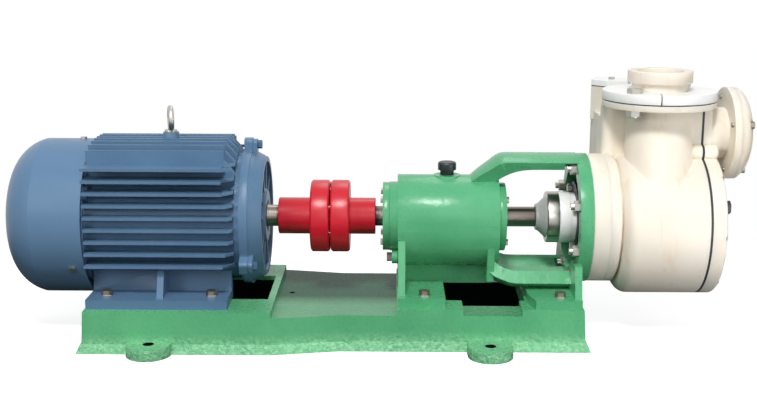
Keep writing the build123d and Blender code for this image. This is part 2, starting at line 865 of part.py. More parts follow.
# Terminal box on the far side of the motor, with its cover, board, studs and cable gland
box_left = terminal_x - terminal_length / 2
box_right = terminal_x + terminal_length / 2
box_bottom = terminal_z - terminal_height / 2
box_top = terminal_z + terminal_height / 2
box_back = terminal_seat_y + terminal_depth
screw_places = []
for side_x in (-1, 1):
    for side_z in (-1, 1):
        corner_x = terminal_x + side_x * (terminal_length / 2 - 9)
        screw_places.append((corner_x, terminal_z + side_z * (terminal_height / 2 - 9)))
with BuildPart() as terminal_box:
    block((box_left, box_right), (terminal_seat_y, box_back), (box_bottom, box_top))
    fillet(terminal_box.edges().filter_by(Axis.Y), 8)
    inner_x = (box_left + terminal_wall, box_right - terminal_wall)
    inner_z = (box_bottom + terminal_wall, box_top - terminal_wall)
    block(inner_x, (terminal_seat_y + terminal_wall, box_back), inner_z, Mode.SUBTRACT)
    for x, z in screw_places:
        rod(facing((x, box_back, z), (0, -1, 0)), 6.5, terminal_depth)
        rod(facing((x, box_back, z), (0, -1, 0)), small_radius + thread_gap, 16, Mode.SUBTRACT)
    rod(facing((terminal_x, terminal_seat_y, terminal_z), (0, 1, 0)), 18, terminal_wall, Mode.SUBTRACT)
    gland_y = terminal_seat_y + terminal_depth / 2
    gland_hole = facing((box_left, gland_y, terminal_z), (1, 0, 0))
    rod(gland_hole, gland_thread_radius + thread_gap, terminal_wall, Mode.SUBTRACT)
terminal_box.part.label = "terminal_box"
export_step(terminal_box.part, "parts/terminal_box.step")

with BuildPart() as terminal_cover_plate:
    block((box_left, box_right), (box_back, box_back + terminal_cover), (box_bottom, box_top))
    fillet(terminal_cover_plate.edges().filter_by(Axis.Y), 8)
    chamfer(terminal_cover_plate.faces().sort_by(Axis.Y)[-1].edges(), 2)
    for x, z in screw_places:
        rod(facing((x, box_back, z), (0, 1, 0)), small_radius + bolt_gap, terminal_cover, Mode.SUBTRACT)
terminal_cover_plate.part.label = "terminal_cover"
export_step(terminal_cover_plate.part, "parts/terminal_cover.step")

board_y = terminal_seat_y + terminal_wall
with BuildPart() as terminal_board:
    block((terminal_x - 34, terminal_x + 34), (board_y, board_y + 12), (terminal_z + 20, terminal_z + 44))
    for k in (-1, 0, 1):
        rod(facing((terminal_x + 22 * k, board_y + 12, terminal_z + 26), (0, 1, 0)), 5, 5)
        rod(facing((terminal_x + 22 * k, board_y + 12, terminal_z + 38), (0, 1, 0)), 5, 5)
terminal_board.part.label = "terminal_board"
export_step(terminal_board.part, "parts/terminal_board.step")

with BuildPart() as terminal_studs:
    for k in (-1, 0, 1):
        for dz in (26, 38):
            rod(facing((terminal_x + 22 * k, board_y + 17, terminal_z + dz), (0, 1, 0)), 2.5, 14)
            hexagon(facing((terminal_x + 22 * k, board_y + 17, terminal_z + dz), (0, 1, 0)), 8, 4)
terminal_studs.part.label = "terminal_studs"
export_step(terminal_studs.part, "parts/terminal_studs.step")

gland_y = terminal_seat_y + terminal_depth / 2
with BuildPart() as cable_gland:
    gland_collar_end = gland_collar_length + gland_nut_length
    rod(facing((box_left, gland_y, terminal_z), (1, 0, 0)), gland_thread_radius, 2 * terminal_wall)
    hexagon(facing((box_left, gland_y, terminal_z), (-1, 0, 0)), gland_flats, gland_collar_length)
    gland_nut = facing((box_left - gland_collar_length, gland_y, terminal_z), (-1, 0, 0))
    rod(gland_nut, gland_flats / 2 - 1, gland_nut_length)
    gland_mouth = facing((box_left - gland_collar_end, gland_y, terminal_z), (1, 0, 0))
    rod(gland_mouth, gland_bore, gland_collar_end + 2 * terminal_wall, Mode.SUBTRACT)
cable_gland.part.label = "cable_gland"
export_step(cable_gland.part, "parts/cable_gland.step")

# Foot bolts and washers, alike under the motor and the bearing bracket
washer_thickness = 2
washer_radius = 10.5
bolt_seats = []
for x, y in motor_bolt_places:
    bolt_seats.append(level(foot_top + washer_thickness, x, y))
for x, y in bracket_bolt_places:
    bolt_seats.append(level(bracket_foot_top + washer_thickness, x, y))
with BuildPart() as foot_bolts:
    for seat in bolt_seats:
        shank = foot_thickness + washer_thickness + 22
        hex_bolt(seat, foot_bolt_radius, shank, foot_bolt_flats, foot_bolt_head)
foot_bolts.part.label = "foot_bolts"
export_step(foot_bolts.part, "parts/foot_bolts.step")

with BuildPart() as foot_washers:
    for seat in bolt_seats:
        rod(seat, washer_radius, -washer_thickness, inner=foot_bolt_radius + bolt_gap)
foot_washers.part.label = "foot_washers"
export_step(foot_washers.part, "parts/foot_washers.step")


def drive_pins(x_start, x_end, radius, inner=0, mode=Mode.ADD):
    """The ring of round pieces or holes of the coupling between two stations."""
    for y, z in around(pin_circle_radius, pin_count):
        rod(facing((x_start, y, z), (1, 0, 0)), radius, x_end - x_start, mode, inner)


# Flexible coupling: two red hubs, and pins with rubber bushes that carry the drive across the gap
edge_break = 3
with BuildPart() as motor_coupling_hub:
    turned(
        [
            (hub_start_x, shaft_radius + seat_gap),
            (hub_start_x, hub_radius - 1),
            (hub_start_x + 1, hub_radius),
            (motor_flange_x, hub_radius),
            (motor_flange_x, coupling_radius - edge_break),
            (motor_flange_x + edge_break, coupling_radius),
            (coupling_face_x - edge_break, coupling_radius),
            (coupling_face_x, coupling_radius - edge_break),
            (coupling_face_x, shaft_radius + seat_gap),
        ]
    )
    key_room = (axis_z + shaft_radius - 4, axis_z + shaft_radius + 3 + seat_gap)
    block((hub_start_x, coupling_face_x), (-5 - seat_gap, 5 + seat_gap), key_room, Mode.SUBTRACT)
    drive_pins(coupling_face_x - pin_depth, coupling_face_x, pin_radius + seat_gap, 0, Mode.SUBTRACT)
motor_coupling_hub.part.label = "motor_coupling_hub"
export_step(motor_coupling_hub.part, "parts/motor_coupling_hub.step")

with BuildPart() as pump_coupling_hub:
    turned(
        [
            (pump_face_x, pump_stub_radius + seat_gap),
            (pump_face_x, coupling_radius - edge_break),
            (pump_face_x + edge_break, coupling_radius),
            (pump_face_x + flange_length - edge_break, coupling_radius),
            (pump_face_x + flange_length, coupling_radius - edge_break),
            (pump_face_x + flange_length, hub_radius),
            (pump_hub_end - 1, hub_radius),
            (pump_hub_end, hub_radius - 1),
            (pump_hub_end, pump_stub_radius + seat_gap),
        ]
    )
    pump_key_room = (axis_z + pump_stub_radius - 4, axis_z + pump_stub_radius + 3 + seat_gap)
    block((pump_face_x, pump_hub_end), (-5 - seat_gap, 5 + seat_gap), pump_key_room, Mode.SUBTRACT)
    drive_pins(pump_face_x, pump_face_x + pin_depth, bush_radius + body_gap, 0, Mode.SUBTRACT)
pump_coupling_hub.part.label = "pump_coupling_hub"
export_step(pump_coupling_hub.part, "parts/pump_coupling_hub.step")

with BuildPart() as coupling_pins:
    drive_pins(coupling_face_x - pin_depth, pump_face_x + pin_depth - 2, pin_radius)
coupling_pins.part.label = "coupling_pins"
export_step(coupling_pins.part, "parts/coupling_pins.step")

with BuildPart() as coupling_bushes:
    drive_pins(pump_face_x + body_gap, pump_face_x + pin_depth - 2, bush_radius, pin_radius + seat_gap)
coupling_bushes.part.label = "coupling_bushes"
export_step(coupling_bushes.part, "parts/coupling_bushes.step")

# Pump shaft
pump_key_x = (pump_face_x + 12, pump_hub_end - 8)
with BuildPart() as pump_shaft:
    turned(
        [
            (pump_face_x, 0),
            (pump_face_x, pump_stub_radius),
            (pump_hub_end, pump_stub_radius),
            (pump_hub_end, pump_shaft_radius),
            (pump_bearing_1 - 2, pump_shaft_radius),
            (pump_bearing_1 - 2, journal_radius),
            (pump_bearing_1 + bearing_width, journal_radius),
            (pump_bearing_1 + bearing_width, journal_radius + 4),
            (pump_bearing_2, journal_radius + 4),
            (pump_bearing_2, journal_radius),
            (pump_bearing_2 + bearing_width + 1, journal_radius),
            (pump_bearing_2 + bearing_width + 1, pump_shaft_radius),
            (impeller_x - 4, pump_shaft_radius),
            (impeller_x - 4, impeller_bore),
            (pump_shaft_end, impeller_bore),
            (pump_shaft_end, 8),
            (pump_shaft_end + 14, 8),
            (pump_shaft_end + 14, 0),
        ]
    )
    slot_z = (axis_z + pump_stub_radius - 5, axis_z + pump_stub_radius + 5)
    block(pump_key_x, (-5, 5), slot_z, Mode.SUBTRACT)
pump_shaft.part.label = "pump_shaft"
export_step(pump_shaft.part, "parts/pump_shaft.step")

with BuildPart() as pump_coupling_key:
    block(pump_key_x, (-5, 5), (axis_z + pump_stub_radius - 5, axis_z + pump_stub_radius + 3))
pump_coupling_key.part.label = "pump_coupling_key"
export_step(pump_coupling_key.part, "parts/pump_coupling_key.step")

# Bearing bracket: one green casting with a bearing housing, two feet, two arms and a pump flange
arm_outer = flange_radius + 1
arm_inner = flange_radius - 12
rear_foot_end = rear_foot_x + rear_foot_length
front_foot_end = front_foot_x + front_foot_length
plate = 12
with BuildPart() as bearing_bracket:
    disc(neck_x_start, housing_x, neck_radius)
    with BuildSketch(station(housing_x)) as section:
        Circle(housing_radius)
        with Locations((0, -sump_drop / 2)):
            Rectangle(2 * housing_radius, sump_drop)
        with Locations((0, -sump_drop)):
            Circle(housing_radius)
    extrude(section.sketch, amount=housing_length)
    upper_outer = [
        (housing_end - 58, housing_radius - 8),
        (housing_end - 32, housing_radius + 14),
        (housing_end - 13, arm_outer - 12),
        (housing_end + 14, arm_outer),
    ]
    upper_inner = [
        (housing_end - 14, housing_radius - 8),
        (housing_end - 4, housing_radius + 2),
        (housing_end + 22, arm_inner - 8),
        (housing_end + 75, arm_inner - 1),
    ]
    curved_band(upper_outer, upper_inner, -24, 48)
    lower_outer = [
        (housing_end - 26, housing_radius - 8),
        (housing_end - 16, arm_outer - 12),
        (housing_end + 8, arm_outer + 4),
        (housing_end + 40, arm_outer + 10),
    ]
    lower_inner = [
        (housing_end - 9, housing_radius - 8),
        (housing_end - 3, arm_inner - 14),
        (housing_end + 12, arm_inner - 5),
        (housing_end + 40, arm_inner),
    ]
    curved_band(lower_outer, lower_inner, 146, 68)
    disc(flange_x, rear_cover_x, flange_radius)
    foot_z = (base_height, bracket_foot_top)
    block((rear_foot_x, rear_foot_end), (-rear_foot_half_width, rear_foot_half_width), foot_z)
    rib_top = axis_z - 28
    rear_rib = [
        (-rear_foot_half_width + 9, base_height),
        (-housing_radius + 2, rib_top),
        (housing_radius - 2, rib_top),
        (rear_foot_half_width - 9, base_height),
    ]
    cross_plate(rear_foot_x, rear_foot_x + plate, rear_rib)
    front_rib = [
        (-housing_radius + 20, axis_z - 104),
        (-housing_radius + 6, axis_z - 40),
        (housing_radius - 6, axis_z - 40),
        (housing_radius - 20, axis_z - 104),
    ]
    cross_plate(housing_end - 20, housing_end - 20 + plate, front_rib)
    rib_z = (bracket_foot_top - 4, axis_z - housing_radius)
    block((rear_foot_x, housing_end - 8), (-plate / 2, plate / 2), rib_z)
    with BuildSketch(level(base_height)) as front_foot:
        with BuildLine():
            Polyline(
                (front_foot_x, -front_foot_half_width + 43),
                (front_foot_x + 10, -front_foot_half_width),
                (front_foot_end, -front_foot_half_width),
                (front_foot_end, front_foot_half_width),
                (front_foot_x + 10, front_foot_half_width),
                (front_foot_x, front_foot_half_width - 43),
                close=True,
            )
        make_face()
    extrude(front_foot.sketch, amount=bracket_foot_thickness)
    side_rib = [
        (-front_foot_half_width + 2, base_height),
        (-flange_radius + 3, axis_z - side_rib_drop),
        (flange_radius - 3, axis_z - side_rib_drop),
        (front_foot_half_width - 2, base_height),
    ]
    cross_plate(front_foot_end - plate, front_foot_end, side_rib)
    rod(level(axis_z + housing_radius - 16, filler_x, 0), 23.5, 17)
    plug_y = -28
    plug_z = axis_z - 67
    rod(facing((housing_x - 10, plug_y, plug_z), (1, 0, 0)), 12, 30)
    disc(flange_x - 12, rear_cover_x, flange_bore, mode=Mode.SUBTRACT)
    disc(neck_x_start, housing_end, bearing_radius, mode=Mode.SUBTRACT)
    chamber = (pump_bearing_1 + bearing_width + 8, pump_bearing_2 - 8)
    disc(chamber[0], chamber[1], housing_radius - 14, mode=Mode.SUBTRACT)
    for y, z in around(stud_circle_radius, stud_count, 22.5):
        stud_hole = facing((flange_x - 3, y, z), (1, 0, 0))
        rod(stud_hole, stud_radius + bolt_gap, flange_thickness + 3, Mode.SUBTRACT)
        rod(facing((flange_x, y, z), (-1, 0, 0)), 12, 20, Mode.SUBTRACT)
    for y, z in around(cover_radius - 7, 4, 45):
        rod(facing((neck_x_start, y, z), (1, 0, 0)), small_radius + thread_gap, 14, Mode.SUBTRACT)
        rod(facing((housing_end, y, z), (-1, 0, 0)), small_radius + thread_gap, 14, Mode.SUBTRACT)
    for x, y in bracket_bolt_places:
        rod(level(base_height, x, y), foot_bolt_radius + bolt_gap, bracket_foot_thickness, Mode.SUBTRACT)
        rod(level(bracket_foot_top, x, y), washer_radius + 1, 40, Mode.SUBTRACT)
    rod(level(axis_z + 40, filler_x, 0), 9 + thread_gap, housing_radius, Mode.SUBTRACT)
    rod(facing((housing_x - 10, plug_y, plug_z), (1, 0, 0)), 6 + thread_gap, 22, Mode.SUBTRACT)
bearing_bracket.part.label = "bearing_bracket"
export_step(bearing_bracket.part, "parts/bearing_bracket.step")

# Bearing covers, with a lip seal round the shaft in each
lip_seal_radius = 30
lip_seal_width = 8
with BuildPart() as rear_bearing_cover:
    disc(cover_x, neck_x_start, cover_radius)
    disc(neck_x_start, pump_bearing_1, bearing_radius - seat_gap, bearing_radius - 8)
    disc(cover_x, neck_x_start, lip_seal_radius, mode=Mode.SUBTRACT)
    disc(cover_x + 9, neck_x_start, lip_seal_radius, pump_shaft_radius + 5)
    for y, z in around(cover_radius - 7, 4, 45):
        rod(facing((cover_x, y, z), (1, 0, 0)), small_radius + bolt_gap, cover_thickness, Mode.SUBTRACT)
rear_bearing_cover.part.label = "rear_bearing_cover"
export_step(rear_bearing_cover.part, "parts/rear_bearing_cover.step")

front_cover_end = housing_end + cover_thickness + 1
with BuildPart() as front_bearing_cover:
    disc(housing_end, front_cover_end, cover_radius)
    disc(housing_end - 4, housing_end, bearing_radius - seat_gap, bearing_radius - 8)
    disc(housing_end, front_cover_end, lip_seal_radius, mode=Mode.SUBTRACT)
    disc(housing_end, front_cover_end - 9, lip_seal_radius, pump_shaft_radius + 5)
    for y, z in around(cover_radius - 7, 4, 45):
        screw_hole = facing((housing_end, y, z), (1, 0, 0))
        rod(screw_hole, small_radius + bolt_gap, cover_thickness + 1, Mode.SUBTRACT)
front_bearing_cover.part.label = "front_bearing_cover"
export_step(front_bearing_cover.part, "parts/front_bearing_cover.step")

seal_inner = pump_shaft_radius + body_gap
with BuildPart() as shaft_lip_seals:
    disc(cover_x, cover_x + lip_seal_width, lip_seal_radius - seat_gap, seal_inner)
    disc(front_cover_end - lip_seal_width, front_cover_end, lip_seal_radius - seat_gap, seal_inner)
    disc(shield_face_x - 7, shield_face_x + 1, journal_radius + 8 - seat_gap, journal_radius + body_gap)
shaft_lip_seals.part.label = "shaft_lip_seals"
export_step(shaft_lip_seals.part, "parts/shaft_lip_seals.step")

# Oil filler cap with a grip, and the drain plug low on the housing
filler_top = axis_z + housing_radius + 1
with BuildPart() as oil_filler_cap:
    rod(level(filler_top, filler_x, 0), 9, -20)
    rod(level(filler_top, filler_x, 0), 12, 9)
    rod(level(filler_top + 9, filler_x, 0), 16, 14)
    fillet(oil_filler_cap.edges().filter_by(GeomType.CIRCLE).sort_by(Axis.Z)[-1], 4)
oil_filler_cap.part.label = "oil_filler_cap"
export_step(oil_filler_cap.part, "parts/oil_filler_cap.step")

with BuildPart() as oil_drain_plug:
    hex_bolt(facing((housing_x - 10, plug_y, plug_z), (-1, 0, 0)), 6, 18, 14, 9)
oil_drain_plug.part.label = "oil_drain_plug"
export_step(oil_drain_plug.part, "parts/oil_drain_plug.step")

# Mechanical seal: a clamped plastic bellows turns with the shaft against a standing seat
bellows_core = 30
with BuildPart() as seal_bellows:
    turned(
        [
            (seal_x, pump_shaft_radius + seat_gap),
            (seal_x, pump_shaft_radius + 5),
            (seal_x + 5, pump_shaft_radius + 7),
            (clamp_x, seal_radius - 8),
            (clamp_x, bellows_core),
            (rotary_x, bellows_core),
            (rotary_x, pump_shaft_radius + seat_gap),
        ]
    )
seal_bellows.part.label = "seal_bellows"
export_step(seal_bellows.part, "parts/seal_bellows.step")

clamp_screw_radius = 2.5
clamp_screw_length = 9
clamp_turn = radians(clamp_screw_angle)
screw_outward = (0, -sin(clamp_turn), cos(clamp_turn))
screw_y = -seal_radius * sin(clamp_turn)
screw_place = facing((clamp_x + 6, screw_y, axis_z + seal_radius * cos(clamp_turn)), screw_outward)
with BuildPart() as seal_clamp_ring:
    disc(clamp_x, rotary_x, seal_radius, bellows_core + seat_gap)
    first_edges = seal_clamp_ring.edges().filter_by(GeomType.CIRCLE).group_by(Axis.X)[0]
    chamfer(first_edges.sort_by(SortBy.LENGTH)[-1], 1.5)
    with BuildSketch(station(clamp_x)) as slit:
        with Locations(Rotation(0, 0, 125)):
            with Locations((0, seal_radius - 7)):
                Rectangle(2.5, 18)
    extrude(slit.sketch, amount=clamp_length, mode=Mode.SUBTRACT)
    rod(screw_place, clamp_screw_radius + thread_gap, -clamp_screw_length - 2, Mode.SUBTRACT)
seal_clamp_ring.part.label = "seal_clamp_ring"
export_step(seal_clamp_ring.part, "parts/seal_clamp_ring.step")

with BuildPart() as clamp_screw:
    rod(screw_place.offset(-1), clamp_screw_radius, -clamp_screw_length)
    with BuildSketch(screw_place.offset(-1)) as socket:
        RegularPolygon(0.6 * clamp_screw_radius, 6)
    extrude(socket.sketch, amount=-clamp_screw_length / 2, mode=Mode.SUBTRACT)
clamp_screw.part.label = "clamp_screw"
export_step(clamp_screw.part, "parts/clamp_screw.step")

with BuildPart() as rotary_seal_ring:
    disc(rotary_x, rotary_x + rotary_length, seal_radius, pump_shaft_radius + seat_gap)
rotary_seal_ring.part.label = "rotary_seal_ring"
export_step(rotary_seal_ring.part, "parts/rotary_seal_ring.step")

with BuildPart() as seal_seat_ring:
    disc(seat_x, hub_face_x, seal_radius - 1, pump_shaft_radius + body_gap)
    fillet(seal_seat_ring.edges().filter_by(GeomType.CIRCLE).sort_by(Axis.X)[0], 1)
seal_seat_ring.part.label = "seal_seat_ring"
export_step(seal_seat_ring.part, "parts/seal_seat_ring.step")

# Gland: two clips and bolts that hold the seal seat against the rear cover
gland_hub_radius = 62
gland_circle = 54
with BuildPart() as seal_gland:
    disc(hub_face_x - 6, hub_face_x, gland_hub_radius, seal_radius - 1 + seat_gap)
    for y, z in around(gland_circle, 4, 60):
        rod(facing((hub_face_x - 8, y, z), (1, 0, 0)), medium_radius + bolt_gap, 20, Mode.SUBTRACT)
seal_gland.part.label = "seal_gland"
export_step(seal_gland.part, "parts/seal_gland.step")

# Rear casing cover of the pump, with a dark backing plate in the bracket's flange
with BuildPart() as rear_backing_plate:
    disc(rear_cover_x - backing_thickness, rear_cover_x, flange_bore - body_gap, gland_hub_radius + body_gap)
rear_backing_plate.part.label = "rear_backing_plate"
export_step(rear_backing_plate.part, "parts/rear_backing_plate.step")

with BuildPart() as rear_cover:
    disc(rear_cover_x, body_x, rear_cover_radius)
    disc(hub_face_x, rear_cover_x, gland_hub_radius)
    disc(body_x, body_x + 8, chamber_radius - seat_gap)
    rims = rear_cover.edges().filter_by(GeomType.CIRCLE).filter_by(lambda e: e.radius == rear_cover_radius)
    chamfer(rims.sort_by(Axis.X)[0], 2)
    disc(hub_face_x, body_x + 8, pump_shaft_radius + 1, mode=Mode.SUBTRACT)
    for y, z in around(stud_circle_radius, stud_count, 22.5):
        rod(facing((rear_cover_x, y, z), (1, 0, 0)), stud_radius + thread_gap, 20, Mode.SUBTRACT)
    for y, z in around(gland_circle, 4, 60):
        rod(facing((hub_face_x, y, z), (1, 0, 0)), medium_radius + thread_gap, 22, Mode.SUBTRACT)
rear_cover.part.label = "rear_cover"
export_step(rear_cover.part, "parts/rear_cover.step")

with BuildPart() as flange_studs:
    for y, z in around(stud_circle_radius, stud_count, 22.5):
        rod(facing((flange_x - 16, y, z), (1, 0, 0)), stud_radius, flange_thickness + 34)
        hexagon(facing((flange_x, y, z), (-1, 0, 0)), 18, 10)
flange_studs.part.label = "flange_studs"
export_step(flange_studs.part, "parts/flange_studs.step")

# Impeller, open towards the suction side
with BuildPart() as impeller:
    disc(impeller_x, impeller_x + impeller_disc, impeller_radius, impeller_bore + seat_gap)
    disc(impeller_x - 3, pump_shaft_end, impeller_hub_radius, impeller_bore + seat_gap)
    for k in range(blade_count):
        turn = 360 * k / blade_count
        with BuildSketch(station(impeller_x + impeller_disc)) as blade:
            with BuildLine(Plane.XY.rotated((0, 0, turn))):
                outer = ThreePointArc((20, 6), (62, 30), (86, -22))
                inner = ThreePointArc((16, 12), (60, 30 + blade_thickness), (90, -14))
                Line(outer @ 0, inner @ 0)
                Line(outer @ 1, inner @ 1)
            make_face()
        extrude(blade.sketch, amount=blade_height - 4)
impeller.part.label = "impeller"
export_step(impeller.part, "parts/impeller.step")

with BuildPart() as impeller_nut:
    hexagon(station(pump_shaft_end), 30, 12)
    disc(pump_shaft_end, pump_shaft_end + 12, 8 + seat_gap, mode=Mode.SUBTRACT)
impeller_nut.part.label = "impeller_nut"
export_step(impeller_nut.part, "parts/impeller_nut.step")

front_bolt_circle = drum_radius - casing_wall / 2
front_bolt_places = []
for angle in (40, 90, 135, 180, 225, 270, 320):
    turn = radians(angle)
    front_bolt_places.append((-front_bolt_circle * sin(turn), drum_z + front_bolt_circle * cos(turn)))
chimney_outline = []
for k in range(6):
    angle = radians(chimney_turn + 60 * k)
    corner_x = chimney_x + chimney_corner * cos(angle)
    chimney_outline.append((corner_x, chimney_y + chimney_corner * sin(angle)))

# Pump body: drum, separator tower, discharge neck and suction chamber in one thick plastic casting
shoulder_round = 22
tower_round = 16


def drum_disc(x_start, x_end, radius, mode=Mode.ADD):
    """A disc about the drum's own axis between two stations."""
    rod(facing((x_start, 0, drum_z), (1, 0, 0)), radius, x_end - x_start, mode)


def split_boss(x_joint, length, place):
    """A boss beside the joint of drum and cover, with a rounded tip; length is signed along X."""
    x_tip = x_joint + length
    toward = split_boss_round * length / abs(length)
    shoulder = (x_tip - toward, split_boss_radius)
    midway = (x_tip - toward * (1 - sqrt(0.5)), split_boss_radius - split_boss_round * (1 - sqrt(0.5)))
    with BuildSketch(Plane(origin=(0, *place), x_dir=(1, 0, 0), z_dir=(0, -1, 0))) as half_boss:
        with BuildLine():
            Polyline((x_tip, 0), (x_joint, 0), (x_joint, split_boss_radius), shoulder)
            ThreePointArc(shoulder, midway, (x_tip, split_boss_radius - split_boss_round))
            Line((x_tip, split_boss_radius - split_boss_round), (x_tip, 0))
        make_face()
    revolve(half_boss.sketch, axis=Axis((0, *place), (1, 0, 0)))


with BuildPart() as pump_body:
    with BuildSketch(level(axis_z)) as tower:
        with Locations(((tower_left + tower_right) / 2, (tower_front + tower_back) / 2)):
            RectangleRounded(tower_length, tower_depth, tower_round)
    extrude(tower.sketch, amount=tower_roof - axis_z)
    with BuildSketch(level(axis_z)) as ridge:
        with Locations(((tower_left + tower_right) / 2, tower_front + ridge_depth / 2)):
            RectangleRounded(tower_length, ridge_depth, tower_round)
    extrude(ridge.sketch, amount=extension_top - axis_z)
    below_tower = [
        (tower_root_depth, axis_z),
        (tower_back, axis_z + tower_root_depth),
        (tower_back + 1, axis_z + tower_root_depth),
        (tower_back + 1, axis_z),
    ]
    cross_plate(tower_left, tower_right, below_tower, Mode.SUBTRACT)
    with BuildSketch(Plane(origin=(0, 0, drum_z), x_dir=(1, 0, 0), z_dir=(0, -1, 0))) as half:
        with BuildLine():
            round_end = drum_x + shoulder_round
            Polyline((drum_end_x, 0), (drum_x, 0), (drum_x, drum_radius - shoulder_round))
            RadiusArc((drum_x, drum_radius - shoulder_round), (round_end, drum_radius), shoulder_round)
            Polyline((round_end, drum_radius), (drum_end_x, drum_radius), (drum_end_x, 0))
        make_face()
    revolve(half.sketch, axis=drum_axis)
    turned([
        (body_x, 0),
        (body_x, rear_cover_radius),
        (drum_x - 6, rear_cover_radius),
        (drum_x, drum_radius - shoulder_round),
        (drum_x + 1, drum_radius - shoulder_round),
        (drum_x + 1, 0),
    ])
    with BuildSketch(level(tower_roof - casing_wall)) as chimney:
        with BuildLine():
            Polyline(*chimney_outline, close=True)
        make_face()
    extrude(chimney.sketch, amount=chimney_top - tower_roof + casing_wall)
    rod(level(axis_z, neck_x, 0), neck_radius_top, tower_top - axis_z)
    with BuildSketch(level(axis_z)) as column_root:
        with Locations((neck_x - 4, -(drum_radius - column_depth))):
            Ellipse(column_half_width, column_depth - 1)
    with BuildSketch(level(tower_top - column_drop)) as column_top:
        with Locations((neck_x, 0)):
            Circle(neck_radius_top)
    loft([column_root.sketch, column_top.sketch])
    block((extension_left, drum_end_x), extension_y, (axis_z, extension_top))
    for place in split_boss_places:
        split_boss(drum_end_x, -split_boss_length, place)
    rod(level(tower_top, neck_x, 0), discharge_flange_radius, discharge_flange_thickness)
    disc(body_x, partition_x, chamber_radius, mode=Mode.SUBTRACT)
    disc(partition_x, partition_x + partition_thickness, eye_radius, mode=Mode.SUBTRACT)
    drum_disc(partition_x + partition_thickness, drum_end_x, inner_radius, Mode.SUBTRACT)
    neck_bore = discharge_bore + 2
    riser_x = (neck_x + neck_bore + 10, drum_end_x)
    riser_z = (axis_z + chamber_radius - casing_wall, extension_top - casing_wall)
    block(riser_x, riser_y, riser_z, Mode.SUBTRACT)
    separator_z = (drum_z + drum_radius, tower_roof - casing_wall)
    throat_x = (partition_x - 8 - throat_length, partition_x - 8)
    throat_z = (axis_z + chamber_radius / 2, separator_z[0] + 8)
    block(throat_x, (-throat_half_width, throat_half_width), throat_z, Mode.SUBTRACT)
    separator_x = (tower_left + casing_wall, tower_right - casing_wall)
    separator_y = (tower_front + casing_wall, tower_back - casing_wall)
    block(separator_x, separator_y, separator_z, Mode.SUBTRACT)
    passage_y = (separator_y[0], separator_y[0] + passage_width)
    block((separator_x[0], neck_x), passage_y, separator_z, Mode.SUBTRACT)
    flange_face = level(tower_top + discharge_flange_thickness, neck_x, 0)
    rod(flange_face, neck_bore, separator_z[0] - tower_top - discharge_flange_thickness, Mode.SUBTRACT)
    chimney_depth = chimney_top - separator_z[1] + 4
    rod(level(chimney_top, chimney_x, chimney_y), chimney_bore, -chimney_depth, Mode.SUBTRACT)
    discharge_places = []
    for k in range(2):
        angle = radians(45 + 180 * k)
        place = (neck_x + discharge_bolt_circle * cos(angle), discharge_bolt_circle * sin(angle))
        discharge_places.append(place)
        bolt_hole = level(tower_top, place[0], place[1])
        rod(bolt_hole, flange_bolt_radius + bolt_gap, discharge_flange_thickness, Mode.SUBTRACT)
        rod(bolt_hole, flange_bolt_flats * 0.62, -16, Mode.SUBTRACT)
    for y, z in front_bolt_places:
        rod(facing((drum_end_x, y, z), (-1, 0, 0)), medium_radius + thread_gap, 18, Mode.SUBTRACT)
pump_body.part.label = "pump_body"
export_step(pump_body.part, "parts/pump_body.step")


def cover_outline(x):
    """The outline of the front cover's joint at station x: the drum's circle with the tower's end above."""
    with BuildSketch(station(x)) as outline:
        with Locations((0, -drum_drop)):
            Circle(drum_radius)
        with Locations((suction_y, (extension_top - axis_z) / 2)):
            Rectangle(2 * extension_half_width, extension_top - axis_z)
        for y, z in split_boss_places:
            with Locations((y, z - axis_z)):
                Circle(split_boss_radius)
    return outline.sketch


# Gasket between the drum and the front cover
with BuildPart() as front_gasket:
    extrude(cover_outline(drum_end_x), amount=gasket_thickness)
    drum_disc(drum_end_x, cover_face_x, inner_radius, Mode.SUBTRACT)
    block((drum_end_x, cover_face_x), riser_y, riser_z, Mode.SUBTRACT)
    for y, z in front_bolt_places:
        rod(facing((drum_end_x, y, z), (1, 0, 0)), medium_radius + bolt_gap, gasket_thickness, Mode.SUBTRACT)
front_gasket.part.label = "front_gasket"
export_step(front_gasket.part, "parts/front_gasket.step")

# Front cover: a plate with a rounded outer edge that carries the suction nozzle and its flange
plug_radius = 8
casing_plug_places = [(-95, drum_z + 47), (0, drum_z - 92)]
suction_back_x = cover_end_x + suction_flange_gap
suction_places = []
for angle in (70, 160, 250, 340):
    turn = radians(angle)
    across = suction_y - suction_bolt_circle * sin(turn)
    suction_places.append((across, suction_z + suction_bolt_circle * cos(turn)))
with BuildPart() as front_cover:
    drum_disc(cover_face_x, cover_end_x, drum_radius)
    fillet(front_cover.faces().sort_by(Axis.X)[-1].outer_wire().edges(), 6)
    extrude(cover_outline(cover_face_x), amount=cover_plate)
    for place in split_boss_places:
        split_boss(cover_face_x, front_cover_length, place)
    nozzle = facing((cover_face_x, suction_y, suction_z), (1, 0, 0))
    rod(nozzle, suction_bore + nozzle_wall, front_cover_length + suction_flange_gap + 2)
    rod(facing((suction_back_x, suction_y, suction_z), (1, 0, 0)), suction_radius, suction_flange_length)
    rod(nozzle, suction_bore, suction_face_x - cover_face_x, Mode.SUBTRACT)
    for y, z in front_bolt_places:
        screw_hole = facing((cover_face_x, y, z), (1, 0, 0))
        rod(screw_hole, medium_radius + bolt_gap, front_cover_length, Mode.SUBTRACT)
        rod(facing((cover_end_x, y, z), (-1, 0, 0)), 7, socket_head + 1, Mode.SUBTRACT)
    for y, z in suction_places:
        tapped_hole = facing((suction_face_x, y, z), (-1, 0, 0))
        rod(tapped_hole, medium_radius + thread_gap, suction_flange_length, Mode.SUBTRACT)
    for y, z in casing_plug_places:
        plug_hole = facing((cover_face_x, y, z), (1, 0, 0))
        rod(plug_hole, plug_radius + thread_gap, front_cover_length, Mode.SUBTRACT)
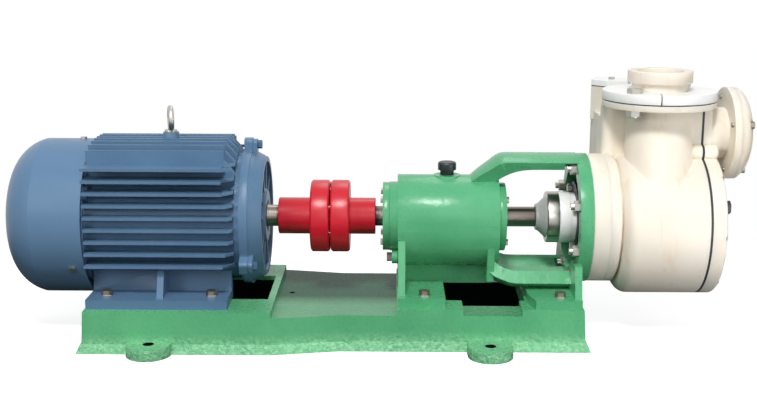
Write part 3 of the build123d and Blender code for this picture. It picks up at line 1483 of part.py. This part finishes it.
front_cover.part.label = "front_cover"
export_step(front_cover.part, "parts/front_cover.step")

with BuildPart() as casing_plugs:
    for y, z in casing_plug_places:
        hex_bolt(facing((cover_end_x, y, z), (1, 0, 0)), plug_radius, 18, 20, 7)
casing_plugs.part.label = "casing_plugs"
export_step(casing_plugs.part, "parts/casing_plugs.step")

# Domed cap that closes the suction flange
suction_axis = Axis((0, suction_y, suction_z), (1, 0, 0))
dome_x = suction_face_x + cap_rim
cap_seat_x = dome_x + 8
with BuildPart() as suction_cap:
    cap_middle = (0, suction_y, suction_z)
    with BuildSketch(Plane(origin=cap_middle, x_dir=(1, 0, 0), z_dir=(0, -1, 0))) as half_cap:
        with BuildLine():
            Polyline((suction_face_x, 0), (suction_face_x, suction_radius), (dome_x, suction_radius))
            Line((dome_x, suction_radius), (dome_x, suction_radius - 3))
            EllipticalCenterArc((dome_x, 0), cap_dome, suction_radius - 3, start_angle=0, arc_size=90)
            Line((dome_x + cap_dome, 0), (suction_face_x, 0))
        make_face()
    revolve(half_cap.sketch, axis=suction_axis)
    cap_depth = cap_rim + cap_dome / 2 - cap_wall
    cap_mouth = facing((suction_face_x, suction_y, suction_z), (1, 0, 0))
    rod(cap_mouth, suction_bolt_circle - 14, cap_depth, Mode.SUBTRACT)
    for y, z in suction_places:
        rod(facing((suction_face_x, y, z), (1, 0, 0)), medium_radius + bolt_gap, 60, Mode.SUBTRACT)
        rod(facing((cap_seat_x, y, z), (1, 0, 0)), 9, 40, Mode.SUBTRACT)
suction_cap.part.label = "suction_cap"
export_step(suction_cap.part, "parts/suction_cap.step")

# Discharge: gasket, stub end with a lapped foot, and a backing ring in two halves
with BuildPart() as discharge_gasket:
    seat = level(tower_top + discharge_flange_thickness, neck_x, 0)
    rod(seat, discharge_flange_radius - 1, gasket_thickness / 2, inner=neck_bore)
    for x, y in discharge_places:
        rod(level(tower_top, x, y), flange_bolt_radius + bolt_gap, 60, Mode.SUBTRACT)
discharge_gasket.part.label = "discharge_gasket"
export_step(discharge_gasket.part, "parts/discharge_gasket.step")

with BuildPart() as discharge_stub:
    rod(level(ring_bottom, neck_x, 0), lap_radius, lap_thickness)
    rod(level(ring_bottom, neck_x, 0), stub_pipe_radius, stub_collar_bottom - ring_bottom)
    rod(level(stub_collar_bottom, neck_x, 0), stub_collar_radius, stub_top - stub_collar_bottom)
    rod(level(ring_bottom, neck_x, 0), discharge_bore, stub_top - ring_bottom, Mode.SUBTRACT)
discharge_stub.part.label = "discharge_stub"
export_step(discharge_stub.part, "parts/discharge_stub.step")

split_angle = 80
split_width = 2
with BuildPart() as backing_ring:
    ring_bore = stub_pipe_radius + body_gap
    rod(level(ring_bottom, neck_x), discharge_flange_radius, ring_thickness, inner=ring_bore)
    rod(level(ring_bottom, neck_x, 0), lap_radius + body_gap, lap_thickness + seat_gap, Mode.SUBTRACT)
    for x, y in discharge_places:
        rod(level(ring_bottom, x, y), flange_bolt_radius + bolt_gap, ring_thickness, Mode.SUBTRACT)
    with BuildSketch(level(ring_bottom, neck_x, 0)) as split_line:
        with Locations(Rotation(0, 0, split_angle)):
            Rectangle(3 * discharge_flange_radius, split_width)
    extrude(split_line.sketch, amount=ring_thickness, mode=Mode.SUBTRACT)
backing_ring.part.label = "backing_ring"
export_step(backing_ring.part, "parts/backing_ring.step")

with BuildPart() as flange_bolts:
    for x, y in discharge_places:
        grip = ring_top - tower_top
        hex_bolt(level(ring_top, x, y), flange_bolt_radius, grip + 14, flange_bolt_flats, flange_bolt_head)
        with BuildSketch(level(tower_top, x, y)) as nut:
            RegularPolygon(flange_bolt_flats / 2, 6, major_radius=False)
            Circle(flange_bolt_radius + thread_gap, mode=Mode.SUBTRACT)
        extrude(nut.sketch, amount=-11)
flange_bolts.part.label = "flange_bolts"
export_step(flange_bolts.part, "parts/flange_bolts.step")

# Priming lid: a hexagon plug screwed into the separator's chimney on a gasket, with a vent screw in it
lid_seat = chimney_top + lid_gasket
with BuildPart() as priming_gasket:
    with BuildSketch(level(chimney_top)) as sheet:
        with BuildLine():
            Polyline(*chimney_outline, close=True)
        make_face()
        with Locations((chimney_x, chimney_y)):
            Circle(chimney_bore + body_gap, mode=Mode.SUBTRACT)
    extrude(sheet.sketch, amount=lid_gasket)
priming_gasket.part.label = "priming_gasket"
export_step(priming_gasket.part, "parts/priming_gasket.step")

vent_place = level(lid_seat + lid_thickness, chimney_x, chimney_y)
with BuildPart() as priming_lid:
    with BuildSketch(level(lid_seat)) as lid:
        with BuildLine():
            Polyline(*chimney_outline, close=True)
        make_face()
    extrude(lid.sketch, amount=lid_thickness)
    rod(level(lid_seat, chimney_x, chimney_y), chimney_bore - thread_gap, -lid_thread_length)
    rod(vent_place, small_radius + thread_gap, -lid_thickness - lid_thread_length, Mode.SUBTRACT)
priming_lid.part.label = "priming_lid"
export_step(priming_lid.part, "parts/priming_lid.step")

# Screws of the covers, gathered by size
small_seats = list(cowl_screw_seats)
for y, z in around(cover_radius - 7, 4, 45):
    small_seats.append(facing((cover_x, y, z), (-1, 0, 0)))
    small_seats.append(facing((front_cover_end, y, z), (1, 0, 0)))
for x, z in screw_places:
    small_seats.append(facing((x, box_back + terminal_cover, z), (0, 1, 0)))
small_seats.append(vent_place)
with BuildPart() as small_hex_screws:
    for seat in small_seats:
        hex_bolt(seat, small_radius, small_length, small_flats, small_head)
small_hex_screws.part.label = "small_hex_screws"
export_step(small_hex_screws.part, "parts/small_hex_screws.step")

medium_seats = []
for y, z in around(lug_circle_radius, 3):
    medium_seats.append(facing((frame_front + 8, y, z), (1, 0, 0)))
for y, z in around(rear_lug_circle, 3, rear_lug_turn):
    medium_seats.append(facing((frame_rear - 8, y, z), (-1, 0, 0)))
for y, z in around(gland_circle, 4, 60):
    medium_seats.append(facing((hub_face_x - 6, y, z), (-1, 0, 0)))
with BuildPart() as medium_hex_screws:
    for seat in medium_seats:
        hex_bolt(seat, medium_radius, medium_length, medium_flats, medium_head)
medium_hex_screws.part.label = "medium_hex_screws"
export_step(medium_hex_screws.part, "parts/medium_hex_screws.step")

socket_seats = []
for y, z in front_bolt_places:
    socket_seats.append(facing((cover_end_x - socket_head - 1, y, z), (1, 0, 0)))
for y, z in suction_places:
    socket_seats.append(facing((cap_seat_x, y, z), (1, 0, 0)))
with BuildPart() as socket_screws:
    for seat in socket_seats:
        cap_screw(seat, medium_radius, socket_length, socket_head)
socket_screws.part.label = "socket_screws"
export_step(socket_screws.part, "parts/socket_screws.step")
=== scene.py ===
import math

import bpy
from mathutils import Matrix, Vector

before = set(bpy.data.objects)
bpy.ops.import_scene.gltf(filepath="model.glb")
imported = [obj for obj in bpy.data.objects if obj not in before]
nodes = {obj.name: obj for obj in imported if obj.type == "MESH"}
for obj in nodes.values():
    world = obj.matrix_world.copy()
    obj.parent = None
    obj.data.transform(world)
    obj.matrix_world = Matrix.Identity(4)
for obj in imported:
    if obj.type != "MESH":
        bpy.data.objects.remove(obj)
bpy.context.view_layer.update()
scene = bpy.context.scene

# Camera: a long lens in front of the pump set, a little above it, at the place and angle that a fit
# of the machine's own sizes to the picture gives.
photo_width_px = 757
focal_px = 1174.4
sensor_mm = 36.0
farthest_seen = 30.0
camera_place = (0.117, -2.025, 0.660)
look_down = 0.2094
turn_left = 0.0103
tilt = -0.0029
camera_data = bpy.data.cameras.new("studio_camera")
camera_data.sensor_width = sensor_mm
camera_data.lens = focal_px * camera_data.sensor_width / photo_width_px
camera_data.clip_end = farthest_seen
camera = bpy.data.objects.new("studio_camera", camera_data)
scene.collection.objects.link(camera)
camera.matrix_world = (
    Matrix.Translation(camera_place)
    @ Matrix.Rotation(turn_left, 4, "Z")
    @ Matrix.Rotation(-look_down, 4, "X")
    @ Matrix.Rotation(tilt, 4, "Y")
    @ Matrix.Rotation(math.pi / 2, 4, "X")
)
scene.camera = camera


# Studio: a wide pale floor that fades to white away from the machine, white round it, and soft round
# lamps. Rays that light the machine meet a dark floor and a dim sky, so that its undersides stay dark.
def linear(hex_colour):
    """An sRGB colour such as "4fa873", as the linear RGBA that a shader takes."""
    channels = []
    for start in (0, 2, 4):
        value = int(hex_colour[start:start + 2], 16) / 255
        channels.append(value / 12.92 if value <= 0.04045 else ((value + 0.055) / 1.055) ** 2.4)
    return (*channels, 1.0)


def put(tree, kind, inputs=None, **settings):
    """Adds a shader node, with its settings, and its inputs as values or as sockets to link."""
    node = tree.nodes.new(kind)
    for name, value in settings.items():
        setattr(node, name, value)
    for name, value in (inputs or {}).items():
        if isinstance(value, bpy.types.NodeSocket):
            tree.links.new(value, node.inputs[name])
        else:
            node.inputs[name].default_value = value
    return node


def reckon(tree, operation, first, second, **settings):
    """The result of a sum, product or comparison of two numbers."""
    return put(
        tree, "ShaderNodeMath", {0: first, 1: second}, operation=operation, **settings
    ).outputs[0]


def carry(tree, value, start, end):
    """A value carried from its span at the start to another at the end, and held at both limits."""
    return put(
        tree, "ShaderNodeMapRange",
        {
            "Value": value,
            "From Min": start[0],
            "From Max": start[1],
            "To Min": end[0],
            "To Max": end[1],
        },
    ).outputs[0]


def seen_or_mirrored(tree, ray):
    """One for rays from the camera and from mirroring or clear pieces, and nought for the others."""
    turned = reckon(
        tree, "ADD", ray.outputs["Is Glossy Ray"], ray.outputs["Is Transmission Ray"], use_clamp=True
    )
    return reckon(tree, "ADD", ray.outputs["Is Camera Ray"], turned, use_clamp=True)


def new_material(name):
    """An empty material with its tree, its place on the piece in metres, and its output."""
    material = bpy.data.materials.new(name)
    material.use_nodes = True
    tree = material.node_tree
    tree.nodes.clear()
    place = put(tree, "ShaderNodeTexCoord").outputs["Object"]
    output = put(tree, "ShaderNodeOutputMaterial")
    return material, tree, place, output


white = linear("ffffff")
floor_reach = 9.0
floor_drop = 0.0005
floor_mesh = bpy.data.meshes.new("studio_floor")
floor_mesh.from_pydata(
    [
        (-floor_reach, -floor_reach, 0), (floor_reach, -floor_reach, 0),
        (floor_reach, floor_reach, 0), (-floor_reach, floor_reach, 0),
    ],
    [], [(0, 1, 2, 3)],
)
studio_floor = bpy.data.objects.new("studio_floor", floor_mesh)
scene.collection.objects.link(studio_floor)
studio_floor.location.z = -floor_drop

paper_glow = 0.74
shadow_middle_x = 0.03
shadow_half_length = 0.62
shadow_half_width = 0.30
fade_start = 1.2
fade_end = 2.8
paper, tree, place, output = new_material("pale_paper")
matt = put(tree, "ShaderNodeBsdfDiffuse", {"Color": linear("484847")}).outputs[0]
lit_paper = put(tree, "ShaderNodeBsdfDiffuse", {"Color": linear("d2d2d1")})
glow = put(tree, "ShaderNodeEmission", {"Color": white, "Strength": paper_glow})
near = put(tree, "ShaderNodeAddShader", {0: lit_paper.outputs[0], 1: glow.outputs[0]})
far = put(tree, "ShaderNodeEmission", {"Color": white, "Strength": 1.0})
round_machine = put(
    tree, "ShaderNodeMapping",
    {
        "Vector": place,
        "Location": (-shadow_middle_x / shadow_half_length, 0.0, 0.0),
        "Scale": (1 / shadow_half_length, 1 / shadow_half_width, 1.0),
    },
)
away = put(tree, "ShaderNodeVectorMath", {0: round_machine.outputs[0]}, operation="LENGTH")
fade = put(
    tree, "ShaderNodeMapRange",
    {"Value": away.outputs["Value"], "From Min": fade_start, "From Max": fade_end},
    interpolation_type="SMOOTHSTEP",
)
ray = put(tree, "ShaderNodeLightPath")
by_ray = put(
    tree, "ShaderNodeMixShader", {0: ray.outputs["Is Camera Ray"], 1: matt, 2: near.outputs[0]}
)
shown = put(
    tree, "ShaderNodeMixShader", {0: fade.outputs[0], 1: by_ray.outputs[0], 2: far.outputs[0]}
)
floor_surface = put(
    tree, "ShaderNodeMixShader", {0: seen_or_mirrored(tree, ray), 1: matt, 2: shown.outputs[0]}
)
tree.links.new(floor_surface.outputs[0], output.inputs["Surface"])
floor_mesh.materials.append(paper)

sky_heights = (-0.2, 0.9)
sky_strengths = (0.04, 0.36)
world = bpy.data.worlds.new("studio_white")
scene.world = world
world.use_nodes = True
tree = world.node_tree
tree.nodes.clear()
direction = put(tree, "ShaderNodeTexCoord").outputs["Generated"]
height = put(tree, "ShaderNodeSeparateXYZ", {0: direction}).outputs["Z"]
dim_sky = put(
    tree, "ShaderNodeBackground",
    {"Color": linear("f4f6fa"), "Strength": carry(tree, height, sky_heights, sky_strengths)},
)
backdrop = put(tree, "ShaderNodeBackground", {"Color": white, "Strength": 1.0})
ray = put(tree, "ShaderNodeLightPath")
surroundings = put(
    tree, "ShaderNodeMixShader",
    {0: seen_or_mirrored(tree, ray), 1: dim_sky.outputs[0], 2: backdrop.outputs[0]},
)
world_output = put(tree, "ShaderNodeOutputWorld")
tree.links.new(surroundings.outputs[0], world_output.inputs["Surface"])

at_coupling = Vector((0.05, 0, 0.2))
at_drum = Vector((0.62, -0.05, 0.14))
for name, spot, target, diameter, watts in (
    ("lamp_key", (-0.1, -2.2, 2.9), at_coupling, 0.7, 88.0),
    ("lamp_front", (0.5, -3.0, 1.2), at_coupling, 1.4, 11.0),
    ("lamp_left", (-1.8, -2.2, 1.3), at_coupling, 1.2, 20.0),
    ("lamp_right", (2.2, -1.7, 0.9), at_coupling, 1.2, 8.0),
    ("lamp_low", (0.95, -0.55, 0.03), at_drum, 0.25, 2.4),
    ("lamp_back", (0.3, 2.0, 3.0), at_coupling, 1.4, 16.0),
):
    lamp_data = bpy.data.lights.new(name, "AREA")
    lamp_data.shape = "DISK"
    lamp_data.size = diameter
    lamp_data.energy = watts
    lamp = bpy.data.objects.new(name, lamp_data)
    scene.collection.objects.link(lamp)
    lamp.location = spot
    lamp.rotation_euler = (target - lamp.location).to_track_quat("-Z", "Y").to_euler()
scene.view_settings.view_transform = "Standard"


# Base plate: one grey iron casting from a sand mould. Brushed green enamel fills its sides nearly
# smooth, but the lip and the ears at its foot keep the rough skin, flecked with pale painted
# highlights. A painted shadow darkens the sunk deck towards the back, and a near-black painted shade
# fills the inside and the drilled holes.
def blend(tree, share, first, second):
    """Two colours mixed by a share, where each is a colour or a socket."""
    return put(
        tree, "ShaderNodeMix", {0: share, 6: first, 7: second}, data_type="RGBA"
    ).outputs[2]


def in_upright_hole(tree, spot, height, hole):
    """One inside an upright hole, given by its centre, radius and top, and nought elsewhere."""
    centre, radius, top = hole
    from_centre = put(tree, "ShaderNodeVectorMath", {0: spot, 1: centre}, operation="SUBTRACT")
    across = put(
        tree, "ShaderNodeVectorMath", {0: from_centre.outputs[0], 1: (1.0, 1.0, 0.0)},
        operation="MULTIPLY",
    )
    off_axis = put(tree, "ShaderNodeVectorMath", {0: across.outputs[0]}, operation="LENGTH")
    in_round = reckon(tree, "LESS_THAN", off_axis.outputs["Value"], radius)
    under_top = reckon(tree, "LESS_THAN", height, top)
    return reckon(tree, "MULTIPLY", in_round, under_top)


def base_skin_and_painted_light(tree, place, paint, lump, specular):
    """The base plate's paint with its painted highlight, shadow and shade: its colour, and the shares
    of its lumps and of its shine.
    """
    at = put(tree, "ShaderNodeSeparateXYZ", {0: place}).outputs
    normal = put(tree, "ShaderNodeNewGeometry").outputs["Normal"]
    facing = put(tree, "ShaderNodeSeparateXYZ", {0: normal}).outputs

    # From the top of the lip down to the ears' tops the skin grows rough, with pale flecks of painted
    # highlight.
    foot_heights = (0.034, 0.014)
    highlight_fleck_contrast = (0.34, 0.66)
    highlight_fleck_shares = (0.05, 0.50)
    foot = carry(tree, at["Z"], foot_heights, (0.0, 1.0))
    highlight_fleck_noise = put(
        tree, "ShaderNodeTexNoise",
        {"Vector": place, "Scale": 160.0, "Detail": 3.0, "Roughness": 0.6},
    )
    highlight_flecks = carry(tree, highlight_fleck_noise.outputs["Fac"], highlight_fleck_contrast, highlight_fleck_shares)
    highlight_flecked = blend(tree, reckon(tree, "MULTIPLY", foot, highlight_flecks), paint, linear("b0e8ba"))

    # The deck lies between these heights, and a painted shadow darkens and dulls it, thinning out
    # towards the front.
    deck_low, deck_high = 0.055, 0.065
    level_enough = 0.9
    deck_shadow_edge = (-0.075, -0.02)
    deck_shadow_shares = (0.25, 1.0)
    above = reckon(tree, "GREATER_THAN", at["Z"], deck_low)
    below = reckon(tree, "LESS_THAN", at["Z"], deck_high)
    flat = reckon(tree, "GREATER_THAN", facing["Z"], level_enough)
    deck = reckon(tree, "MULTIPLY", reckon(tree, "MULTIPLY", above, below), flat)
    painted_deck_shadow = reckon(tree, "MULTIPLY", deck, carry(tree, at["Y"], deck_shadow_edge, deck_shadow_shares))
    deck_shadowed = blend(tree, painted_deck_shadow, highlight_flecked, linear("345c46"))

    # Sides that face the middle from afar are inside, and so are the walls of the drilled holes, of
    # which the four anchor holes are mirror twins. All of them get a near-black painted shade.
    least_inward = -0.02
    inside_top = 0.062
    anchor_hole = ((0.285, 0.165, 0.0), 0.0094, 0.0182)
    deck_hole = ((-0.058, 0.0, 0.0), 0.0054, 0.0700)
    inward = reckon(tree, "MULTIPLY", facing["Y"], at["Y"])
    inside = reckon(tree, "LESS_THAN", inward, least_inward)
    low = reckon(tree, "LESS_THAN", at["Z"], inside_top)
    painted_hollow_shade = reckon(tree, "MULTIPLY", inside, low)
    folded = put(tree, "ShaderNodeVectorMath", {0: place}, operation="ABSOLUTE").outputs[0]
    for spot, hole in ((folded, anchor_hole), (place, deck_hole)):
        painted_hollow_shade = reckon(tree, "MAXIMUM", painted_hollow_shade, in_upright_hole(tree, spot, at["Z"], hole))
    colour = blend(tree, painted_hollow_shade, deck_shadowed, linear("0a1812"))

    # The painted shadow on the deck and the painted shade inside also take most of the shine away.
    dull_shine = 0.04
    rough_lump = 0.75
    dulled = reckon(tree, "MAXIMUM", painted_deck_shadow, painted_hollow_shade)
    shine = carry(tree, dulled, (0.0, 1.0), (specular, dull_shine))
    return colour, carry(tree, foot, (0.0, 1.0), (lump, rough_lump)), shine


def cast_enamel(
    name, colour, deep, grain_mm, lump, roughness, peel=0.15, specular=0.4, skin_and_painted_light=None
):
    """Enamel on a casting: two shades, lumps of a grain size, a fine orange peel, and any painted
    light.
    """
    material, tree, place, output = new_material(name)
    shade_contrast = (0.35, 0.7)
    most_deep = 0.8
    shade = put(
        tree, "ShaderNodeTexNoise", {"Vector": place, "Scale": 9.0, "Detail": 4.0, "Roughness": 0.6}
    )
    tone = carry(tree, shade.outputs["Fac"], shade_contrast, (0.0, most_deep))
    paint = blend(tree, tone, linear(colour), linear(deep))
    if skin_and_painted_light:
        # Here the base's paint takes its painted highlight, shadow and shade.
        paint, lump, specular = skin_and_painted_light(tree, place, paint, lump, specular)
    lump_height = grain_mm / 1500.0
    peel_height = 0.0003
    sand = put(
        tree, "ShaderNodeTexNoise",
        {"Vector": place, "Scale": 1000.0 / grain_mm, "Detail": 3.0, "Roughness": 0.55},
    )
    skin = put(tree, "ShaderNodeTexNoise", {"Vector": place, "Scale": 600.0, "Detail": 1.0})
    lumps = put(
        tree, "ShaderNodeBump",
        {"Height": sand.outputs["Fac"], "Strength": lump, "Distance": lump_height},
    )
    orange_peel = put(
        tree, "ShaderNodeBump",
        {
            "Height": skin.outputs["Fac"],
            "Strength": peel,
            "Distance": peel_height,
            "Normal": lumps.outputs[0],
        },
    )
    roughnesses = (roughness - 0.06, roughness + 0.10)
    rough = carry(tree, sand.outputs["Fac"], (0.0, 1.0), roughnesses)
    enamel = put(
        tree, "ShaderNodeBsdfPrincipled",
        {
            "Base Color": paint,
            "Roughness": rough,
            "IOR": 1.5,
            "Specular IOR Level": specular,
            "Normal": orange_peel.outputs[0],
        },
    )
    tree.links.new(enamel.outputs[0], output.inputs["Surface"])
    return material


def dress(names, material, edge_mm=0.0):
    """Gives CAD nodes a material, and softens their sharp edges as casting or a file would."""
    weld_reach = 0.00002
    sharp_edge_degrees = 38
    for name in names:
        piece = nodes[name]
        piece.data.materials.clear()
        piece.data.materials.append(material)
        if edge_mm > 0:
            weld = piece.modifiers.new("closed_skin", "WELD")
            weld.merge_threshold = weld_reach
            bevel = piece.modifiers.new("soft_edges", "BEVEL")
            bevel.width = edge_mm / 1000.0
            bevel.segments = 2
            bevel.limit_method = "ANGLE"
            bevel.angle_limit = math.radians(sharp_edge_degrees)


base_enamel = cast_enamel(
    "green_enamel_on_rough_casting", "60b27e", "4c9c6d", 7.0, 0.08, 0.26,
    specular=0.25, skin_and_painted_light=base_skin_and_painted_light,
)
dress(["base_plate"], base_enamel, 2.4)

# Bearing bracket: a finer casting than the base, rubbed down before the same green enamel, so that
# its round housing shows a long soft highlight and only slight waves.
green_castings = cast_enamel(
    "green_enamel_on_fine_casting", "59ab7a", "489d6d", 22.0, 0.06, 0.26, specular=0.3
)
dress(["bearing_bracket", "rear_bearing_cover", "front_bearing_cover"], green_castings, 0.8)

# Motor: a cast iron frame, shields and box with a pressed sheet cowl, all sprayed in one blue-grey
# gloss enamel. The castings show a fine sand grain. The sheet takes the paint smoothly, and a press
# has left a crease where its round side meets its domed end.
blue_castings = cast_enamel(
    "blue_enamel_on_castings", "587896", "4f6e8c", 5.0, 0.10, 0.36, specular=0.3
)
dress(
    ["motor_frame", "drive_end_shield", "rear_end_shield", "terminal_box", "terminal_cover"],
    blue_castings, 0.5,
)
blue_sheet = cast_enamel(
    "blue_enamel_on_sheet", "5b7b9a", "557594", 60.0, 0.02, 0.33, peel=0.06, specular=0.3
)
dress(["fan_cowl"], blue_sheet)
crease_degrees = 14
crease = nodes["fan_cowl"].modifiers.new("pressed_crease", "EDGE_SPLIT")
crease.split_angle = math.radians(crease_degrees)


# Shafts, keys and pins, and the bearings' rings and balls: bright steel, turned on a lathe.
def turned_steel(name, colour, roughness, feed_mm=0.8, depth=0.15, sprayed=None):
    """Metal from the lathe, with rings in proportion to its feed, and paint on the motor's side."""
    material, tree, place, output = new_material(name)
    wave_radians_a_metre = 20.0
    mark_depth = 0.0002
    roughnesses = (roughness - 0.08, roughness + 0.12)
    rings = put(
        tree, "ShaderNodeTexWave",
        {
            "Vector": place,
            "Scale": 1000.0 / feed_mm / wave_radians_a_metre,
            "Distortion": 0.6,
            "Detail": 2.0,
            "Detail Scale": 2.0,
        },
        wave_type="BANDS", bands_direction="X",
    )
    smudge = put(tree, "ShaderNodeTexNoise", {"Vector": place, "Scale": 30.0, "Detail": 4.0})
    rough = carry(tree, smudge.outputs["Fac"], (0.0, 1.0), roughnesses)
    marks = put(
        tree, "ShaderNodeBump",
        {"Height": rings.outputs["Fac"], "Strength": depth, "Distance": mark_depth},
    )
    steel = put(
        tree, "ShaderNodeBsdfPrincipled",
        {
            "Base Color": linear(colour),
            "Metallic": 1.0,
            "Roughness": rough,
            "Normal": marks.outputs[0],
        },
    )
    if sprayed:
        enamel = put(
            tree, "ShaderNodeBsdfPrincipled", {"Base Color": linear(sprayed), "Roughness": 0.35}
        )
        along = put(tree, "ShaderNodeSeparateXYZ", {0: place}).outputs["X"]
        on_motor = reckon(tree, "LESS_THAN", along, 0.0)
        steel = put(
            tree, "ShaderNodeMixShader", {0: on_motor, 1: steel.outputs[0], 2: enamel.outputs[0]}
        )
    tree.links.new(steel.outputs[0], output.inputs["Surface"])
    return material


shaft_steel = turned_steel("turned_steel", "827a72", 0.30)
dress(
    ["motor_shaft", "pump_shaft", "motor_coupling_key", "pump_coupling_key", "coupling_pins"],
    shaft_steel, 0.3,
)
dress(
    ["bearing_outer_rings", "motor_inner_rings", "pump_inner_rings", "bearing_balls"], shaft_steel
)

# Screws, bolts, washers and the eye bolt: zinc plate. The motor's own screws were sprayed with it,
# and those near the floor and the oil have gone dull.
zinc = turned_steel("zinc_plate", "b9b7b0", 0.38, 1.2, 0.05)
dress(["small_hex_screws", "eye_bolt", "foot_washers", "flange_bolts", "flange_studs"], zinc, 0.3)
sprayed_zinc = turned_steel(
    "zinc_plate_sprayed_at_the_motor", "b9b7b0", 0.38, 1.2, 0.05, sprayed="3f5c78"
)
dress(["medium_hex_screws"], sprayed_zinc, 0.3)
dull_zinc = turned_steel("dulled_zinc_plate", "8f877c", 0.48, 1.2, 0.05)
dress(["foot_bolts", "socket_screws", "oil_drain_plug", "clamp_screw"], dull_zinc, 0.3)

# Shaft seal's metal: a polished clamp ring, and a gland of blackened steel.
stainless = turned_steel("polished_stainless", "b4b1ac", 0.28, 0.8, 0.02)
dress(["seal_clamp_ring"], stainless, 0.3)
dark_steel = turned_steel("blackened_steel", "2c3238", 0.42)
dress(["seal_gland"], dark_steel, 0.3)

# Inside of the motor and its box: stacked sheet cores, copper windings and brass studs.
laminations = turned_steel("stacked_sheet_steel", "5a5a5e", 0.55, 1.0, 0.5)
dress(["stator_core", "rotor_core"], laminations)
brass = turned_steel("turned_brass", "c7a259", 0.3)
dress(["terminal_studs"], brass)
copper = turned_steel("enamelled_copper_wire", "b06a38", 0.35, 1.5, 0.6)
dress(["stator_windings"], copper)

# Coupling halves: turned grey iron with red gloss lacquer.
red_lacquer = cast_enamel(
    "red_lacquer_on_coupling", "ca1a2c", "b81526", 40.0, 0.03, 0.30, peel=0.06
)
dress(["motor_coupling_hub", "pump_coupling_hub"], red_lacquer, 0.6)


# Pump casing: thick mouldings of natural polyolefin, a little milky, with a satin skin. Their walls
# let light in a little way, and the melt leaves warm clouds and upright streaks.
def thick_plastic(name, colour, warm, cloud, roughness, milk_mm, streak=0.0, milk=0.35):
    """A thick moulding: two close shades in clouds, streaks, a satin skin, and light in its walls."""
    material, tree, place, output = new_material(name)
    clouds = put(
        tree, "ShaderNodeTexNoise",
        {"Vector": place, "Scale": 11.0, "Detail": 5.0, "Roughness": 0.62},
    )
    cloud_contrast = (0.38, 0.72)
    tone = carry(tree, clouds.outputs["Fac"], cloud_contrast, (0.0, cloud))
    body = blend(tree, tone, linear(colour), linear(warm))
    streaks_a_metre = (34.0, 34.0, 5.0)
    streak_contrast = (0.60, 0.72)
    upright = put(tree, "ShaderNodeMapping", {"Vector": place, "Scale": streaks_a_metre})
    flow = put(
        tree, "ShaderNodeTexNoise",
        {
            "Vector": upright.outputs[0],
            "Scale": 1.0,
            "Detail": 3.0,
            "Roughness": 0.5,
            "Distortion": 0.4,
        },
    )
    line = carry(tree, flow.outputs["Fac"], streak_contrast, (0.0, streak))
    ripple_height = 0.002
    ripple = put(tree, "ShaderNodeTexNoise", {"Vector": place, "Scale": 25.0, "Detail": 2.0})
    skin = put(
        tree, "ShaderNodeBump",
        {"Height": ripple.outputs["Fac"], "Strength": 0.12, "Distance": ripple_height},
    )
    roughnesses = (roughness - 0.10, roughness + 0.14)
    rub = carry(tree, clouds.outputs["Fac"], (0.0, 1.0), roughnesses)
    plastic = put(
        tree, "ShaderNodeBsdfPrincipled",
        {
            "Base Color": blend(tree, line, body, linear("dcc3a2")),
            "Roughness": rub,
            "IOR": 1.5,
            "Subsurface Weight": milk,
            "Subsurface Radius": (1.0, 0.8, 0.6),
            "Subsurface Scale": milk_mm / 1000.0,
            "Normal": skin.outputs[0],
        },
    )
    tree.links.new(plastic.outputs[0], output.inputs["Surface"])
    return material


casing_plastic = thick_plastic(
    "natural_polyolefin", "e9e2d5", "e4d8c5", 0.55, 0.46, 12.0, streak=0.45, milk=0.4
)
dress(
    ["rear_cover", "pump_body", "front_cover", "suction_cap", "discharge_stub"],
    casing_plastic, 1.0,
)

# Backing ring, priming lid, seal rings and impeller: a whiter and denser plastic.
white_plastic = thick_plastic("white_fluoroplastic", "f3f3f1", "ecebe8", 0.3, 0.36, 1.5)
dress(
    [
        "backing_ring", "priming_lid", "rotary_seal_ring", "seal_seat_ring", "impeller",
        "impeller_nut",
    ],
    white_plastic, 0.6,
)

# Shaft seal's bellows: a grey plastic cone.
bellows_plastic = thick_plastic("grey_bellows_plastic", "a8aaa8", "9c9e9c", 0.3, 0.26, 1.0)
dress(["seal_bellows"], bellows_plastic, 0.6)


# Black pieces: moulded caps, plugs and fan, rubber gaskets and bushes, and the black-painted backing
# plate, whose near-black also stands in as painted shade inside the bracket's ring.
def black_moulding(name, colour, roughness):
    """A dark piece with a fine matt grain."""
    material, tree, place, output = new_material(name)
    grain_mm = 0.8
    grain_depth = 0.0002
    grain = put(
        tree, "ShaderNodeTexNoise", {"Vector": place, "Scale": 1000.0 / grain_mm, "Detail": 2.0}
    )
    tooth = put(
        tree, "ShaderNodeBump",
        {"Height": grain.outputs["Fac"], "Strength": 0.2, "Distance": grain_depth},
    )
    plastic = put(
        tree, "ShaderNodeBsdfPrincipled",
        {
            "Base Color": linear(colour),
            "Roughness": roughness,
            "IOR": 1.5,
            "Normal": tooth.outputs[0],
        },
    )
    tree.links.new(plastic.outputs[0], output.inputs["Surface"])
    return material


black_plastic = black_moulding("moulded_black_plastic", "1c2226", 0.42)
dress(
    ["oil_filler_cap", "casing_plugs", "cable_gland", "terminal_board", "cooling_fan"],
    black_plastic, 0.5,
)
rubber = black_moulding("black_rubber", "26282a", 0.6)
dress(
    ["front_gasket", "discharge_gasket", "priming_gasket", "coupling_bushes", "shaft_lip_seals"],
    rubber,
)
# Its near-black also serves as painted shade inside the bracket's ring.
backing_black_and_painted_shade = black_moulding("black_paint", "10141c", 0.4)
dress(["rear_backing_plate"], backing_black_and_painted_shade)
